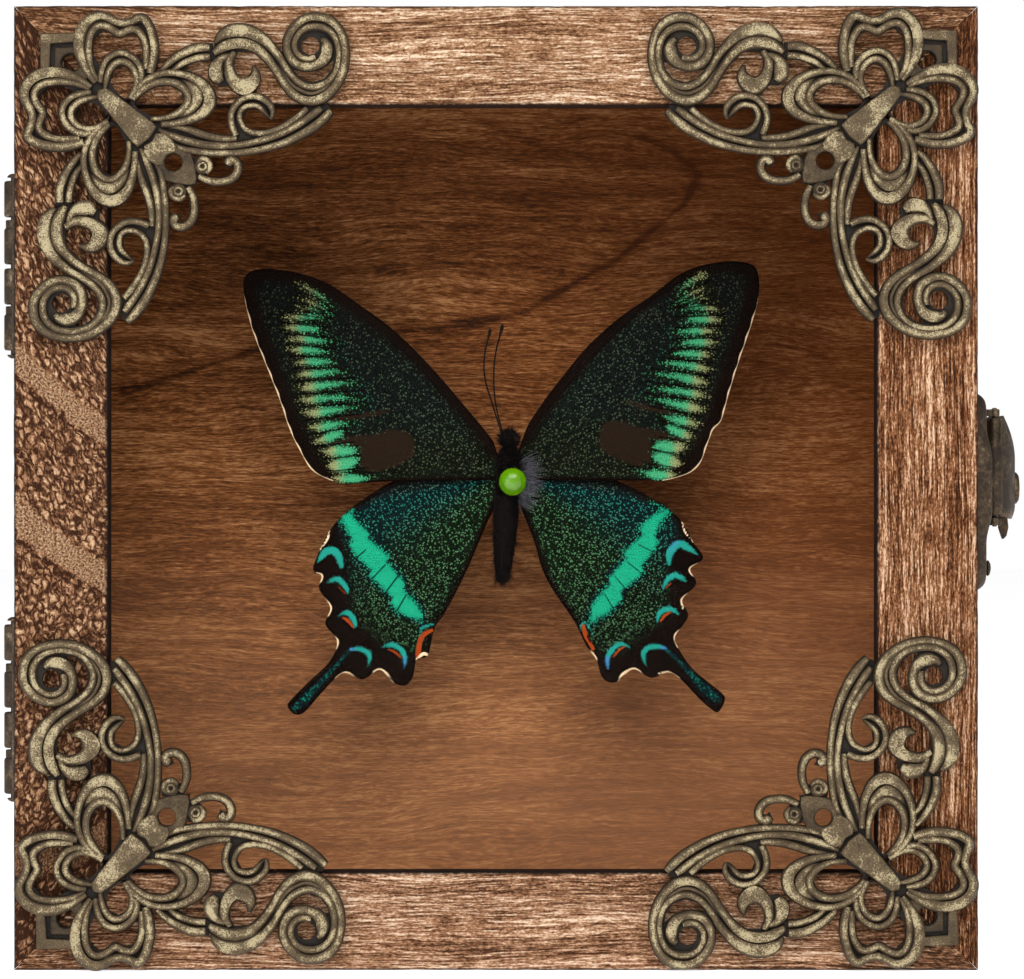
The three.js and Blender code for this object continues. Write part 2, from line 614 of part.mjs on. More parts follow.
// Wing outlines, [x, z], dorsal side to the front.
const wingOutlines = {
  forewing_left: [[-0.2, 81.6], [-1.4, 83.7], [-4.6, 87.6], [-9, 92.8], [-13.2, 97.3],
    [-17.7, 101.4], [-22.6, 104.9], [-27, 107.9], [-31.8, 109.7], [-36.7, 110.4], [-39.4, 110.1],
    [-40.7, 109], [-40.9, 107.4], [-40.5, 104.6], [-39.3, 100.1], [-37, 94.3], [-35, 89.2],
    [-33.3, 84.2], [-31.2, 80], [-29.7, 77.8], [-26.6, 76.2], [-24.2, 75.7], [-17.4, 76.1],
    [-8, 76.3], [0.4, 76.8]],
  forewing_right: [[4.4, 83.6], [7.3, 88.6], [11.1, 93.6], [14.9, 98.1], [19.8, 102.5],
    [25, 106.1], [29.2, 109.3], [32.6, 110.8], [36.9, 111.6], [40.3, 111.4], [42, 110.3],
    [42.4, 106.7], [41.4, 102.2], [39.1, 95.4], [37.4, 89.9], [36.3, 86], [34.8, 84.1],
    [33.2, 79.7], [32.1, 78.1], [30.3, 77.1], [26.9, 76.2], [24.2, 76.2], [14, 76.3], [3.6, 77]],
  hindwing_left: [[0.4, 77], [-9, 77.3], [-16, 76.4], [-21.6, 73.2], [-25.3, 70.2], [-27.2, 67.8],
    [-28.6, 65], [-29.7, 61.8], [-28.3, 60.8], [-28.7, 58.7], [-26.9, 55.7], [-27.7, 53],
    [-25.8, 50.3], [-27, 47], [-30.8, 43.3], [-33.4, 40.6], [-33.8, 39.6], [-32.6, 38.4],
    [-31, 38.8], [-28.9, 41.2], [-26, 44.3], [-24.4, 45.1], [-21.6, 44.1], [-18.9, 45.6],
    [-16.8, 43.6], [-14.7, 43.1], [-13.5, 44.6], [-12.9, 47.3], [-11.1, 48], [-10, 52.4],
    [-8.2, 55.1], [-5, 61.3], [-1.7, 69], [0.2, 73.5]],
  hindwing_right: [[3.6, 77.2], [13, 77.4], [19, 76.4], [25.3, 73.3], [27.6, 71.9], [30, 69.5],
    [31.8, 66.3], [33.4, 63.7], [31.3, 61.9], [32.3, 59.5], [30, 56.9], [31, 54.3], [28.9, 51.1],
    [29.3, 49.3], [31.6, 45.9], [34.4, 43.5], [36.6, 41.7], [36.9, 40.6], [36, 38.9], [35.2, 38.9],
    [33.1, 40.6], [29.5, 44.3], [27.6, 45.2], [25, 44.3], [22.1, 45.7], [19.7, 43.8], [18.3, 43.6],
    [17, 44.5], [16.1, 47.3], [14.5, 49.5], [12.4, 53.7], [9.1, 58.5], [7.3, 62.1], [6, 66.6],
    [3.6, 73]],
};

// Head, thorax and tapering abdomen, each made larger by extra for cutting the wings.
function makeBodySolid(extra) {
  const bead = (rx, ry, rz, x, y, z) => {
    const sphere = new THREE.SphereGeometry(1, 10, 7);
    sphere.scale(rx + extra, ry + extra, rz + extra);
    return solidOf(sphere.translate(x, y, z));
  };
  const profile = [
    [0, -extra],
    [0.7 + extra, 0.5 - extra],
    [1.3 + extra, 2.5],
    [1.9 + extra, 7],
    [2.1 + extra, 11],
    [1.9 + extra, 14.5],
    [0, 16.5 + extra],
  ].map(([r, z]) => new THREE.Vector2(r, z));
  const abdomen = new THREE.LatheGeometry(profile, 10);
  abdomen.rotateX(Math.PI / 2);
  abdomen.rotateY(THREE.MathUtils.degToRad(3));
  abdomen.translate(0.9, 2, 59.5);
  return bead(2.2, 2.3, 5, 2.1, 1.7, 77.4)
    .add(bead(1.6, 1.5, 1.6, 2, 1.4, 83.2))
    .add(solidOf(abdomen));
}

// A thin antenna along its curve, thicker at the club.
function makeAntenna(marks) {
  const path = new THREE.CatmullRomCurve3(marks.map(([x, y, z]) => new THREE.Vector3(x, y, z)));
  const radius = 0.25;
  const section = new THREE.Shape();
  section.absarc(0, 0, radius, 0, 2 * Math.PI);
  const stem = new THREE.ExtrudeGeometry(section, {
    extrudePath: path,
    steps: 7,
    curveSegments: 3,
  });
  const end = path.getPoint(0.96);
  const clubRadius = 0.42;
  const club = new THREE.SphereGeometry(clubRadius, 6, 5).scale(1, 1, 2);
  return geometryOf(solidOf(stem).add(solidOf(club.translate(end.x, end.y, end.z))));
}

function makeButterfly() {
  const group = new THREE.Group();
  const pinBore = solidOf(rodAlongY(pinRadius + touchGap, pinX, pinZ, -20, 20, 10));
  const body = makeBodySolid(0).subtract(pinBore);
  addMesh(group, "butterfly_body", geometryOf(body), materials.fur);
  const clearance = makeBodySolid(touchGap);
  for (const [name, marks] of Object.entries(wingOutlines)) {
    const front = name.startsWith("forewing") ? forewingY : hindwingY;
    const plate = faceFront(extrude(straightShape(marks), wingThickness), front + wingThickness);
    const wing = solidOf(plate).subtract(clearance).subtract(pinBore);
    addMesh(group, name, geometryOf(wing), materials.wing);
  }
  const antennae = {
    antenna_left: [[0.2, 1, 85.3], [-1, 0.7, 90], [-1.7, 0.3, 95], [-0.8, 0, 100]],
    antenna_right: [[1.3, 1, 85.6], [0, 0.7, 90.3], [0.1, 0.3, 95.5], [1.4, 0, 100.4]],
  };
  for (const [name, marks] of Object.entries(antennae)) {
    addMesh(group, name, makeAntenna(marks), materials.fur);
  }
  return group;
}

function makePin() {
  const group = new THREE.Group();
  const tip = trayBack - backingThickness + pinDepthInBacking - touchGap;
  const start = pinHeadY + 0.5;
  const shaft = rodAlongY(pinRadius, pinX, pinZ, start, tip, 10);
  addMesh(group, "insect_pin", shaft, materials.steel);
  const ball = new THREE.SphereGeometry(pinHeadRadius, 14, 9).translate(pinX, pinHeadY, pinZ);
  const socket = rodAlongY(pinRadius + touchGap, pinX, pinZ, start - touchGap, 0, 10);
  const head = solidOf(ball).subtract(solidOf(socket));
  addMesh(group, "pin_head", geometryOf(head), materials.pinHead);
  return group;
}

const specimenBox = new THREE.Group();
specimenBox.add(makeBox());
specimenBox.add(makeLid());
specimenBox.add(makeCastings());
for (const [name, middleZ] of Object.entries(hingeHeights)) {
  specimenBox.add(makeHinge(name, middleZ));
}
specimenBox.add(makeNails());
specimenBox.add(makeClasp());
specimenBox.add(makeButterfly());
specimenBox.add(makePin());

export default specimenBox;
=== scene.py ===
import math
import random

import bmesh
import bpy
import numpy as np
from mathutils import Matrix, Vector, noise


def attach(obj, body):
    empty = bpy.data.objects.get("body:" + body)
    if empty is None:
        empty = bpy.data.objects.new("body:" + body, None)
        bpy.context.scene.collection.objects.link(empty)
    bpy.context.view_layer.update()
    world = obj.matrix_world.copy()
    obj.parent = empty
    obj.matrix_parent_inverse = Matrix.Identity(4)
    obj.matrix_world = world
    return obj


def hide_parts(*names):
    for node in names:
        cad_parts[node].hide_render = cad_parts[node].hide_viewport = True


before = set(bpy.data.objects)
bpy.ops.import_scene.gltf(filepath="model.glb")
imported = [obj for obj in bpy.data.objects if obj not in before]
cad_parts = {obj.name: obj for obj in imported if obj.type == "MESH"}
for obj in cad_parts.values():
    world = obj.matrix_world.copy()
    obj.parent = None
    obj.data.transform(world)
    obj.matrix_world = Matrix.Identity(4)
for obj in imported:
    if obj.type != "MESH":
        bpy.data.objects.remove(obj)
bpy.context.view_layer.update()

mm = 0.001
half = 75.0  # half the side of the box, and the height of its middle
lidFront = -22.5
lidBack = -8.5
trayFront = -8.2
trayBack = 22.5
seamY = -8.35


class Value:  # one socket of a shader, used in sums like a number
    def __init__(self, shader, socket):
        self.shader = shader
        self.socket = socket

    def math(self, operation, *others, clamp=False):
        inputs = {0: self}
        for place, other in enumerate(others, 1):
            inputs[place] = other
        settings = {"operation": operation, "use_clamp": clamp}
        return self.shader.node("ShaderNodeMath", settings, inputs)

    def __add__(self, other): return self.math("ADD", other)
    def __radd__(self, other): return self.math("ADD", other)
    def __sub__(self, other): return self.math("SUBTRACT", other)
    def __mul__(self, other): return self.math("MULTIPLY", other)
    def __rmul__(self, other): return self.math("MULTIPLY", other)
    def __truediv__(self, other): return self.math("DIVIDE", other)

    def __rsub__(self, other):
        return self.shader.node("ShaderNodeMath", {"operation": "SUBTRACT"}, {0: other, 1: self})

    def most(self, other): return self.math("MAXIMUM", other)
    def inRange(self): return self.math("ADD", 0.0, clamp=True)

    def step(self, low, high):  # 0 below low, 1 above high, smooth between
        inputs = {"Value": self, "From Min": low, "From Max": high}
        settings = {"interpolation_type": "SMOOTHSTEP", "clamp": True}
        return self.shader.node("ShaderNodeMapRange", settings, inputs)


class Shader:
    def __init__(self, name):
        self.material = bpy.data.materials.new(name)
        self.material.use_nodes = True
        self.tree = self.material.node_tree
        self.tree.nodes.clear()

    def node(self, kind, settings=None, inputs=None, output=0):
        made = self.tree.nodes.new(kind)
        for key, value in (settings or {}).items():
            if key == "stops":
                self.setStops(made.color_ramp, value)
            else:
                setattr(made, key, value)
        for key, value in (inputs or {}).items():
            if isinstance(value, Value):
                self.tree.links.new(value.socket, made.inputs[key])
            else:
                made.inputs[key].default_value = value
        return Value(self, made.outputs[output])

    def setStops(self, ramp, stops):
        while len(ramp.elements) < len(stops):
            ramp.elements.new(1.0)
        for element, (place, colour) in zip(ramp.elements, stops):
            element.position = place
            element.color = colour

    def ramp(self, value, *stops):  # stops of (place, colour)
        return self.node("ShaderNodeValToRGB", {"stops": stops}, {0: value})

    def mix(self, factor, first, second):
        return self.node("ShaderNodeMix", {"data_type": "RGBA"}, {0: factor, 6: first, 7: second}, output=2)

    def attribute(self, name):
        return self.node("ShaderNodeAttribute", {"attribute_name": name}, output="Fac")

    def objectPlace(self):  # in millimetres
        place = self.node("ShaderNodeTexCoord", output="Object")
        return self.scaled(place, 1000.0, 1000.0, 1000.0)

    def grainPlace(self):  # the piece's own map: along and across the grain in millimetres
        place = self.node("ShaderNodeTexCoord", output="UV")
        return self.scaled(place, 1000.0, 1000.0, 1.0)

    def scaled(self, vector, x, y, z):
        return self.node("ShaderNodeVectorMath", {"operation": "MULTIPLY"}, {0: vector, 1: (x, y, z)})

    def moved(self, vector, other):
        return self.node("ShaderNodeVectorMath", {"operation": "ADD"}, {0: vector, 1: other})

    def axis(self, vector, name):
        return self.node("ShaderNodeSeparateXYZ", inputs={0: vector}, output=name)

    def noise(self, vector, scale, detail=3.0, rough=0.55, warp=0.0):
        inputs = {"Vector": vector, "Scale": scale, "Detail": detail, "Roughness": rough, "Distortion": warp}
        return self.node("ShaderNodeTexNoise", inputs=inputs, output="Fac")

    def grain(self, vector, stretch, detail=3.0, rough=0.55, warp=0.0):  # noise, finer along some axes
        return self.noise(self.scaled(vector, *stretch), 1.0, detail, rough, warp)

    def cells(self, vector, scale, feature="F1", output="Distance"):
        inputs = {"Vector": vector, "Scale": scale}
        return self.node("ShaderNodeTexVoronoi", {"feature": feature}, inputs, output)

    def bump(self, height, distance):  # distance in millimetres
        inputs = {"Height": height, "Distance": distance * mm, "Strength": 1.0}
        return self.node("ShaderNodeBump", inputs=inputs)

    def surface(self, colour, rough, metal=0.0, normal=None, **fixed):
        inputs = {"Base Color": colour, "Roughness": rough, "Metallic": metal}
        if normal is not None:
            inputs["Normal"] = normal
        inputs.update({key.replace("_", " "): value for key, value in fixed.items()})
        self.show(self.node("ShaderNodeBsdfPrincipled", inputs=inputs))

    def show(self, shader):
        end = self.tree.nodes.new("ShaderNodeOutputMaterial")
        self.tree.links.new(shader.socket, end.inputs["Surface"])


def rgb(red, green, blue):  # screen colour 0 to 255, as the shaders' linear colour
    def linear(part):
        part = part / 255
        return part / 12.92 if part <= 0.04045 else ((part + 0.055) / 1.055) ** 2.4
    return (linear(red), linear(green), linear(blue), 1.0)


def finishPiece(name, bm, shaders, body, nodes=()):  # bm is in millimetres
    bmesh.ops.remove_doubles(bm, verts=bm.verts, dist=1e-4)
    bmesh.ops.scale(bm, vec=(mm, mm, mm), verts=bm.verts)
    mesh = bpy.data.meshes.new(name)
    bm.to_mesh(mesh)
    bm.free()
    for shader in shaders:
        mesh.materials.append(shader.material)
    mesh.polygons.foreach_set("use_smooth", [True] * len(mesh.polygons))
    piece = bpy.data.objects.new(name, mesh)
    bpy.context.scene.collection.objects.link(piece)
    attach(piece, body)
    if nodes:
        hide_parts(*nodes)
    return piece


def setAttribute(piece, name, values):
    attribute = piece.data.attributes.new(name, "FLOAT", "POINT")
    attribute.data.foreach_set("value", np.asarray(values, np.float32))


def vertexPlaces(piece):  # in millimetres
    places = np.zeros(len(piece.data.vertices) * 3, np.float32)
    piece.data.vertices.foreach_get("co", places)
    return places.reshape(-1, 3) / mm


def sharpEdges(piece, degrees):
    piece.data.set_sharp_from_angle(angle=math.radians(degrees))


def roundEdges(bm, edges, width):
    bmesh.ops.bevel(
        bm, geom=edges, offset=width, offset_type="OFFSET", affect="EDGES",
        segments=2, profile=0.5, material=-1, clamp_overlap=True,
    )


def addCylinder(bm, radius, start, end, sides=32, rounding=0.0):
    start, end = Vector(start), Vector(end)
    along = end - start
    turn = Vector((0, 0, 1)).rotation_difference(along).to_matrix().to_4x4()
    place = Matrix.Translation((start + end) / 2) @ turn
    made = bmesh.ops.create_cone(
        bm, cap_ends=True, segments=sides, radius1=radius, radius2=radius,
        depth=along.length, matrix=place,
    )
    if rounding > 0:
        faces = {f for v in made["verts"] for f in v.link_faces if len(f.verts) == sides}
        rims = list({e for f in faces for e in f.edges})
        roundEdges(bm, rims, rounding)


def addBox(bm, low, high, rounding=0.0):
    low, high = Vector(low), Vector(high)
    place = Matrix.Translation((low + high) / 2) @ Matrix.Diagonal((*(high - low), 1))
    made = bmesh.ops.create_cube(bm, size=1, matrix=place)
    if rounding > 0:
        edges = list({e for v in made["verts"] for e in v.link_edges})
        roundEdges(bm, edges, rounding)


def newVerts(made):
    return [v for v in made["geom"] if isinstance(v, bmesh.types.BMVert)]


def spaced(first, last, step):  # places from first to last, about step apart
    count = max(1, round(abs(last - first) / step))
    return [first + (last - first) * i / count for i in range(count)]


def brushedWood(name, look):
    shader = Shader(name)
    place = shader.grainPlace()
    wander = shader.grain(place, (0.012, 0.05, 1), 2.0) - 0.5
    sway = shader.node("ShaderNodeCombineXYZ", inputs={"Y": wander * look["sway"], "X": 0.0, "Z": 0.0})
    drifted = shader.moved(place, sway)
    bands = shader.grain(drifted, (0.018, 0.32, 1), 3.0)
    lines = shader.grain(drifted, (0.045, 1.5, 1), 4.0, 0.62)
    fibres = shader.grain(drifted, (0.3, 3.0, 1), 4.0, 0.66)
    specks = shader.grain(drifted, (1.5, 3.6, 1), 3.0, 0.7)
    curls = shader.grain(drifted, (0.55, 1.15, 1), 4.0, 0.68, 1.6)
    height = bands * 0.14 + lines * 0.26 + fibres * 0.34 + specks * 0.26
    tone = (height - 0.5) * look["contrast"] + 0.5
    if look.get("cells"):
        tone = cellFigure(shader, place, tone, specks)
    rift = shader.grain(drifted, (0.028, 0.8, 1), 3.0, 0.6) - 0.5
    cracks = 1.0 - rift.math("ABSOLUTE").step(0.0, 0.022)
    nicks = curls.step(0.60, 0.70) * look["nicks"] + cracks * look["cracks"]
    stain = shader.grain(place, (0.03, 0.09, 1), 3.0).step(0.5, 0.72)
    corner = shader.axis(place, "X").math("ABSOLUTE").step(42.0, 70.0)
    tone = tone - stain * look["stain"] - nicks * 0.42 - corner * look["corner"]
    colour = shader.ramp(
        tone, (0.08, look["dark"]), (0.40, look["mid"]), (0.62, look["light"]), (0.92, look["pale"]),
    )
    ragged = shader.noise(place, 0.9, 3.0) * 0.7 - 0.35
    burn = (shader.attribute("burn") + ragged).step(0.3, 0.85)
    colour = shader.mix(burn, colour, look["burnt"])
    rough = 0.78 - tone * 0.12
    shader.surface(colour, rough, normal=shader.bump(tone, look["relief"]), Specular_IOR_Level=0.1)
    return shader


def cellFigure(shader, place, tone, specks):  # short curly cells with plain sandy bands between
    warp = shader.noise(place, 0.5, 3.0, 0.6) - 0.5
    swirl = shader.noise(shader.scaled(place, 1.0, -1.0, 1), 0.4, 3.0, 0.6) - 0.5
    push = shader.node("ShaderNodeCombineXYZ", inputs={"X": warp * 2.8, "Y": swirl * 2.4, "Z": 0.0})
    turned = shader.node(
        "ShaderNodeVectorRotate", {"rotation_type": "Z_AXIS"},
        {"Vector": shader.moved(place, push), "Angle": math.radians(24)},
    )
    pattern = shader.scaled(turned, 0.62, 1.12, 1)
    plateau = shader.cells(pattern, 1.0, "DISTANCE_TO_EDGE").step(0.0, 0.3)
    lot = shader.cells(pattern, 1.0, output="Color")
    strokes = shader.grain(turned, (0.5, 1.5, 1), 4.0, 0.65)
    network = plateau * 0.55 + (strokes - 0.5) * 1.7 + lot * 0.2 + (specks - 0.5) * 1.2 + 0.02
    along, across = shader.axis(place, "X"), shader.axis(place, "Y")
    ragged = (shader.noise(place, 0.55, 4.0, 0.6) - 0.5) * 4.5
    figure = None
    for middle, width, slope in ((15.7, 2.5, 0.7), (-10.6, 3.0, 0.95), (-63.0, 3.0, 0.7)):  # sandy bands
        off = along - middle + (across - 21.0) * slope + ragged
        band = 1.0 - off.math("ABSOLUTE").step(width - 0.7, width + 0.7)
        scorch = 1.0 - (off + width + 0.7).math("ABSOLUTE").step(0.2, 0.9)
        network = network - scorch * 0.25
        figure = band if figure is None else figure.most(band)
    grit = shader.noise(place, 2.8, 3.0, 0.75)
    sand = (tone - 0.5) * 0.25 + (grit - 0.5) * 3.0 + 0.6
    return network + (sand - network) * figure


woodLooks = {
    "top": {
        "dark": rgb(76, 46, 26), "mid": rgb(150, 106, 73), "light": rgb(192, 148, 112),
        "pale": rgb(248, 222, 192), "burnt": rgb(50, 32, 24), "contrast": 5.8, "stain": 0.12,
        "sway": 9.0, "relief": 0.13, "nicks": 1.1, "cracks": 0.45, "corner": 0.2,
    },
    "bottom": {
        "dark": rgb(66, 40, 24), "mid": rgb(144, 100, 70), "light": rgb(190, 144, 110),
        "pale": rgb(246, 216, 186), "burnt": rgb(38, 26, 22), "contrast": 6.0, "stain": 0.14,
        "sway": 8.0, "relief": 0.13, "nicks": 0.6, "cracks": 0.6, "corner": 0.14,
    },
    "right": {
        "dark": rgb(56, 28, 12), "mid": rgb(124, 76, 45), "light": rgb(168, 116, 79),
        "pale": rgb(240, 200, 164), "burnt": rgb(42, 26, 22), "contrast": 6.2, "stain": 0.18,
        "sway": 4.0, "relief": 0.13, "nicks": 0.8, "cracks": 0.7, "corner": 0.12,
    },
    "left": {
        "dark": rgb(60, 34, 20), "mid": rgb(130, 88, 60), "light": rgb(180, 134, 98),
        "pale": rgb(234, 196, 156), "burnt": rgb(42, 28, 24), "contrast": 4.6, "stain": 0.06,
        "sway": 4.0, "relief": 0.26, "nicks": 0.3, "cracks": 0.1, "corner": 0.2, "cells": True,
    },
    "board": {
        "dark": rgb(66, 40, 29), "mid": rgb(128, 84, 58), "light": rgb(168, 120, 84),
        "pale": rgb(210, 166, 124), "burnt": rgb(42, 28, 23), "contrast": 4.6, "stain": 0.16,
        "sway": 6.0, "relief": 0.13, "nicks": 0.8, "cracks": 0.6, "corner": 0.08,
    },
}

railWidths = {"left": 14.8, "right": 15.9, "top": 15.6, "bottom": 15.4}
lip = {"depth": 4.0, "groove": 2.2, "grooveDepth": 3.0, "rearStep": 1.6, "round": 0.7}
mitreGap = 0.05
barTurns = {"top": ("left", "right", 0), "right": ("top", "bottom", 1),
            "bottom": ("right", "left", 2), "left": ("bottom", "top", 3)}


def railSection(width):  # (distance from the outer face, y) round the bar
    r = lip["round"]
    grooveFront = lidFront + lip["depth"]
    grooveBack = grooveFront + lip["groove"]
    points = [(0.0, y) for y in spaced(lidBack, lidFront + r, 0.7)]
    points += [(r - r * math.cos(a), lidFront + r - r * math.sin(a)) for a in spaced(0, math.pi / 2, 0.4)]
    points += [(x, lidFront) for x in spaced(r, width - r, 0.32)]
    points += [
        (width - r + r * math.sin(a), lidFront + r - r * math.cos(a))
        for a in spaced(0, math.pi / 2, 0.4)
    ]
    points += [(width, y) for y in spaced(lidFront + r, grooveFront, 0.8)]
    rear = width - lip["rearStep"]
    points += [(width, grooveFront), (width - lip["grooveDepth"], grooveFront),
               (width - lip["grooveDepth"], grooveBack), (rear, grooveBack)]
    points += [(rear, y) for y in spaced(grooveBack + 0.8, lidBack, 1.5)]
    points += [(x, lidBack) for x in spaced(rear, 0.0, 2.0)]
    return points


def boardSection(width):
    rebate = {"depth": 3.0, "front": trayBack - 5.1}
    points = [(0.0, y) for y in spaced(trayBack, trayFront, 0.6)]
    points += [(x, trayFront) for x in spaced(0.0, width, 1.2)]
    points += [(width, y) for y in spaced(trayFront, rebate["front"], 1.2)]
    points += [(width, rebate["front"]), (width - rebate["depth"], rebate["front"])]
    points += [(width - rebate["depth"], y) for y in spaced(rebate["front"] + 1, trayBack, 2.0)]
    points += [(x, trayBack) for x in spaced(width - rebate["depth"], 0.0, 0.9)]
    return points


def burnAt(kind, inset, y, width):  # how scorched the bar is there, 0 to 1
    if kind == "rail":
        inner = max(0.0, 1 - (width - inset) / 1.0)
        outer = max(0.0, 1 - inset / 0.8) if y < lidFront + 1.2 else 0.0
        deep = 0.9 if inset > width - 3.1 and y > lidFront + 0.8 else 0.0
        seam = max(0.0, 1 - abs(y - lidBack) / 1.0)
        return max(inner, outer * 0.85, deep, seam * 0.7)
    edge = min(abs(y - trayFront), abs(y - trayBack), inset + 0.8)
    inside = 0.55 if inset > width - 0.1 else 0.0
    return max(max(0.0, 1 - edge / 1.1) * 0.8, inside)


def woodRelief(u, v, seed):  # ridges and hollows of the brushed grain, in millimetres
    lines = noise.fractal(Vector((u * 0.05, v * 1.1, seed)), 0.9, 2.1, 3)
    lumps = noise.noise(Vector((u * 0.3, v * 0.5, seed + 7)))
    return 0.07 * max(-1.0, min(1.0, lines * 0.8 + lumps * 0.4))


def brushedBar(name, side, widths, sectionOf, kind, shader, step, seed, node):
    before, after, quarter = barTurns[side]
    width = widths[side]
    section = sectionOf(width)
    count = len(section)
    lengths = [0.0]
    for (a, b), (c, d) in zip(section, section[1:] + section[:1]):
        lengths.append(lengths[-1] + math.hypot(c - a, d - b))
    steps = round(2 * half / step)
    bm = bmesh.new()
    bmesh.ops.create_grid(bm, x_segments=steps, y_segments=count, size=0.5)
    grainMap = bm.loops.layers.uv.new("grain")
    burns = bm.verts.layers.float.new("burn")
    places = {}
    for v in bm.verts:
        at = v.co.x + 0.5
        turn = round((v.co.y + 0.5) * count)
        places[v] = (at, turn)
    for face in bm.faces:
        for loop in face.loops:
            at, turn = places[loop.vert]
            loop[grainMap].uv = ((at - 0.5) * 2 * half * mm, lengths[turn] * mm)
    for v, (at, turn) in places.items():
        inset, y = section[turn % count]
        nextInset, nextY = section[(turn + 1) % count]
        lastInset, lastY = section[(turn - 1) % count]
        tangent = Vector((nextInset - lastInset, nextY - lastY)).normalized()
        inward = Vector((-tangent.y, tangent.x))  # the section runs clockwise seen along the bar
        u, w = (at - 0.5) * 2 * half, lengths[turn % count]
        v[burns] = burnAt(kind, inset, y, width)
        shown = 0.0 if kind == "rail" and inset > width - 3.2 and y > lidFront + 3 else 1.0
        if abs(y - lidBack) < 0.1 or abs(y - trayFront) < 0.1:
            shown = 0.0
        depth = woodRelief(u, w, seed) * shown
        if v[burns] > 0.3 and shown:
            depth -= 0.1 * max(0.0, noise.noise(Vector((u * 0.5, w * 0.4, seed + 3))))
        inset, y = inset - inward.x * depth, y - inward.y * depth
        cutLeft = inset * widths[before] / width
        cutRight = inset * widths[after] / width
        x = -(half - cutLeft - mitreGap) * (1 - at) + (half - cutRight - mitreGap) * at
        v.co = Vector((x, y, half - inset))
    bmesh.ops.remove_doubles(bm, verts=bm.verts, dist=1e-4)
    bmesh.ops.holes_fill(bm, edges=[e for e in bm.edges if e.is_boundary], sides=0)
    turn = Matrix.Translation((0, 0, half)) @ Matrix.Rotation(quarter * math.pi / 2, 4, "Y")
    bmesh.ops.transform(bm, matrix=turn, verts=bm.verts)
    bmesh.ops.recalc_face_normals(bm, faces=bm.faces)
    body = "lid" if kind == "rail" else "box"
    sharpEdges(finishPiece(name, bm, [shader], body, [node]), 40)


def makeRails():
    for seed, side in enumerate(barTurns):
        shader = brushedWood(f"brushedRail_{side}", woodLooks[side])
        brushedBar(f"brushed_rail_{side}", side, railWidths, railSection, "rail", shader,
                   0.6, 11.3 * seed, f"lid_rail_{side}")
    print("rails made")


def makeBoards():
    shader = brushedWood("brushedBoards", woodLooks["board"])
    widths = dict.fromkeys(barTurns, 8.0)
    for seed, side in enumerate(barTurns):
        brushedBar(f"brushed_board_{side}", side, widths, boardSection, "board", shader,
                   0.8, 60 + 13.7 * seed, f"box_board_{side}")
    print("boards made")


backing = {"half": 69.9, "front": 17.5, "thickness": 5.0, "cell": 0.5, "holeRadius": 0.58}
pin = {"x": 2.6, "z": 76.0, "radius": 0.28, "headRadius": 2.24, "headY": -6.0, "tip": 20.2}

figureLines = [  # dark growth lines, [x, z] and their strength
    (0.9, [(-62, 91), (-52, 94), (-39, 98.3), (-24, 100.2), (-11, 101.2), (4, 104), (20, 113), (31, 122),
           (33.5, 127), (29, 131), (24, 133)]),
    (0.55, [(-20, 111), (-10, 112.5), (0, 111.8), (11, 111)]),
    (0.4, [(-66, 122), (-50, 128), (-36, 134), (-26, 139)]),
    (0.35, [(-9, 139), (8, 131), (26, 128), (40, 130), (62, 138)]),
    (0.3, [(36, 120), (45, 117), (58, 116)]),
]


def distanceTo(points, places):  # from each [x, z] place to the line through the points
    best = np.full(len(places), 1e9)
    for (ax, az), (bx, bz) in zip(points, points[1:]):
        a, along = np.array((ax, az)), np.array((bx - ax, bz - az))
        t = np.clip(((places - a) @ along) / (along @ along), 0, 1)
        best = np.minimum(best, np.hypot(*(places - a - t[:, None] * along).T))
    return best


def veneer():
    shader = Shader("darkVeneer")
    place = shader.objectPlace()
    drift = shader.grain(place, (0.02, 1, 0.06), 2.0) - 0.5
    sway = shader.node("ShaderNodeCombineXYZ", inputs={"X": 0.0, "Y": 0.0, "Z": drift * 9.0})
    drifted = shader.moved(place, sway)
    pores = shader.grain(drifted, (0.3, 1, 4.6), 3.0, 0.6)
    streaks = shader.grain(drifted, (0.05, 1, 1.5), 4.0, 0.6)
    clouds = shader.grain(drifted, (0.025, 1, 0.1), 3.0)
    flecks = shader.grain(drifted, (0.9, 1, 6.0), 2.0, 0.6)
    tone = (pores - 0.5) * 1.1 + (streaks - 0.5) * 0.75 + (clouds - 0.5) * 0.9 + (flecks - 0.5) * 1.15 + 0.48
    line = shader.attribute("figure") + (streaks - 0.5) * 0.5 * shader.attribute("figure")
    tone = tone - line.inRange() * 0.42
    colour = shader.ramp(
        tone, (0.02, rgb(44, 18, 2)), (0.34, rgb(92, 49, 16)), (0.58, rgb(130, 80, 40)),
        (0.98, rgb(190, 136, 88)),
    )
    right = shader.axis(place, "X").step(-20.0, 70.0)
    colour = shader.mix(right * 0.48, colour, rgb(96, 44, 6))
    # painted shade: the top of the back is darkened where the top rail's shadow falls
    high = shader.axis(place, "Z").step(96.0, 132.0)
    colour = shader.mix(high * 0.3, colour, rgb(66, 28, 4))
    # painted light: the back is lightened towards the bottom, where more light falls
    low = shader.axis(place, "Z").step(90.0, 10.0)
    colour = shader.mix(low * 0.32, colour, rgb(184, 132, 94))
    rough = 0.5 + pores * 0.2
    shader.surface(colour, rough, normal=shader.bump(tone, 0.03), Specular_IOR_Level=0.08)
    return shader


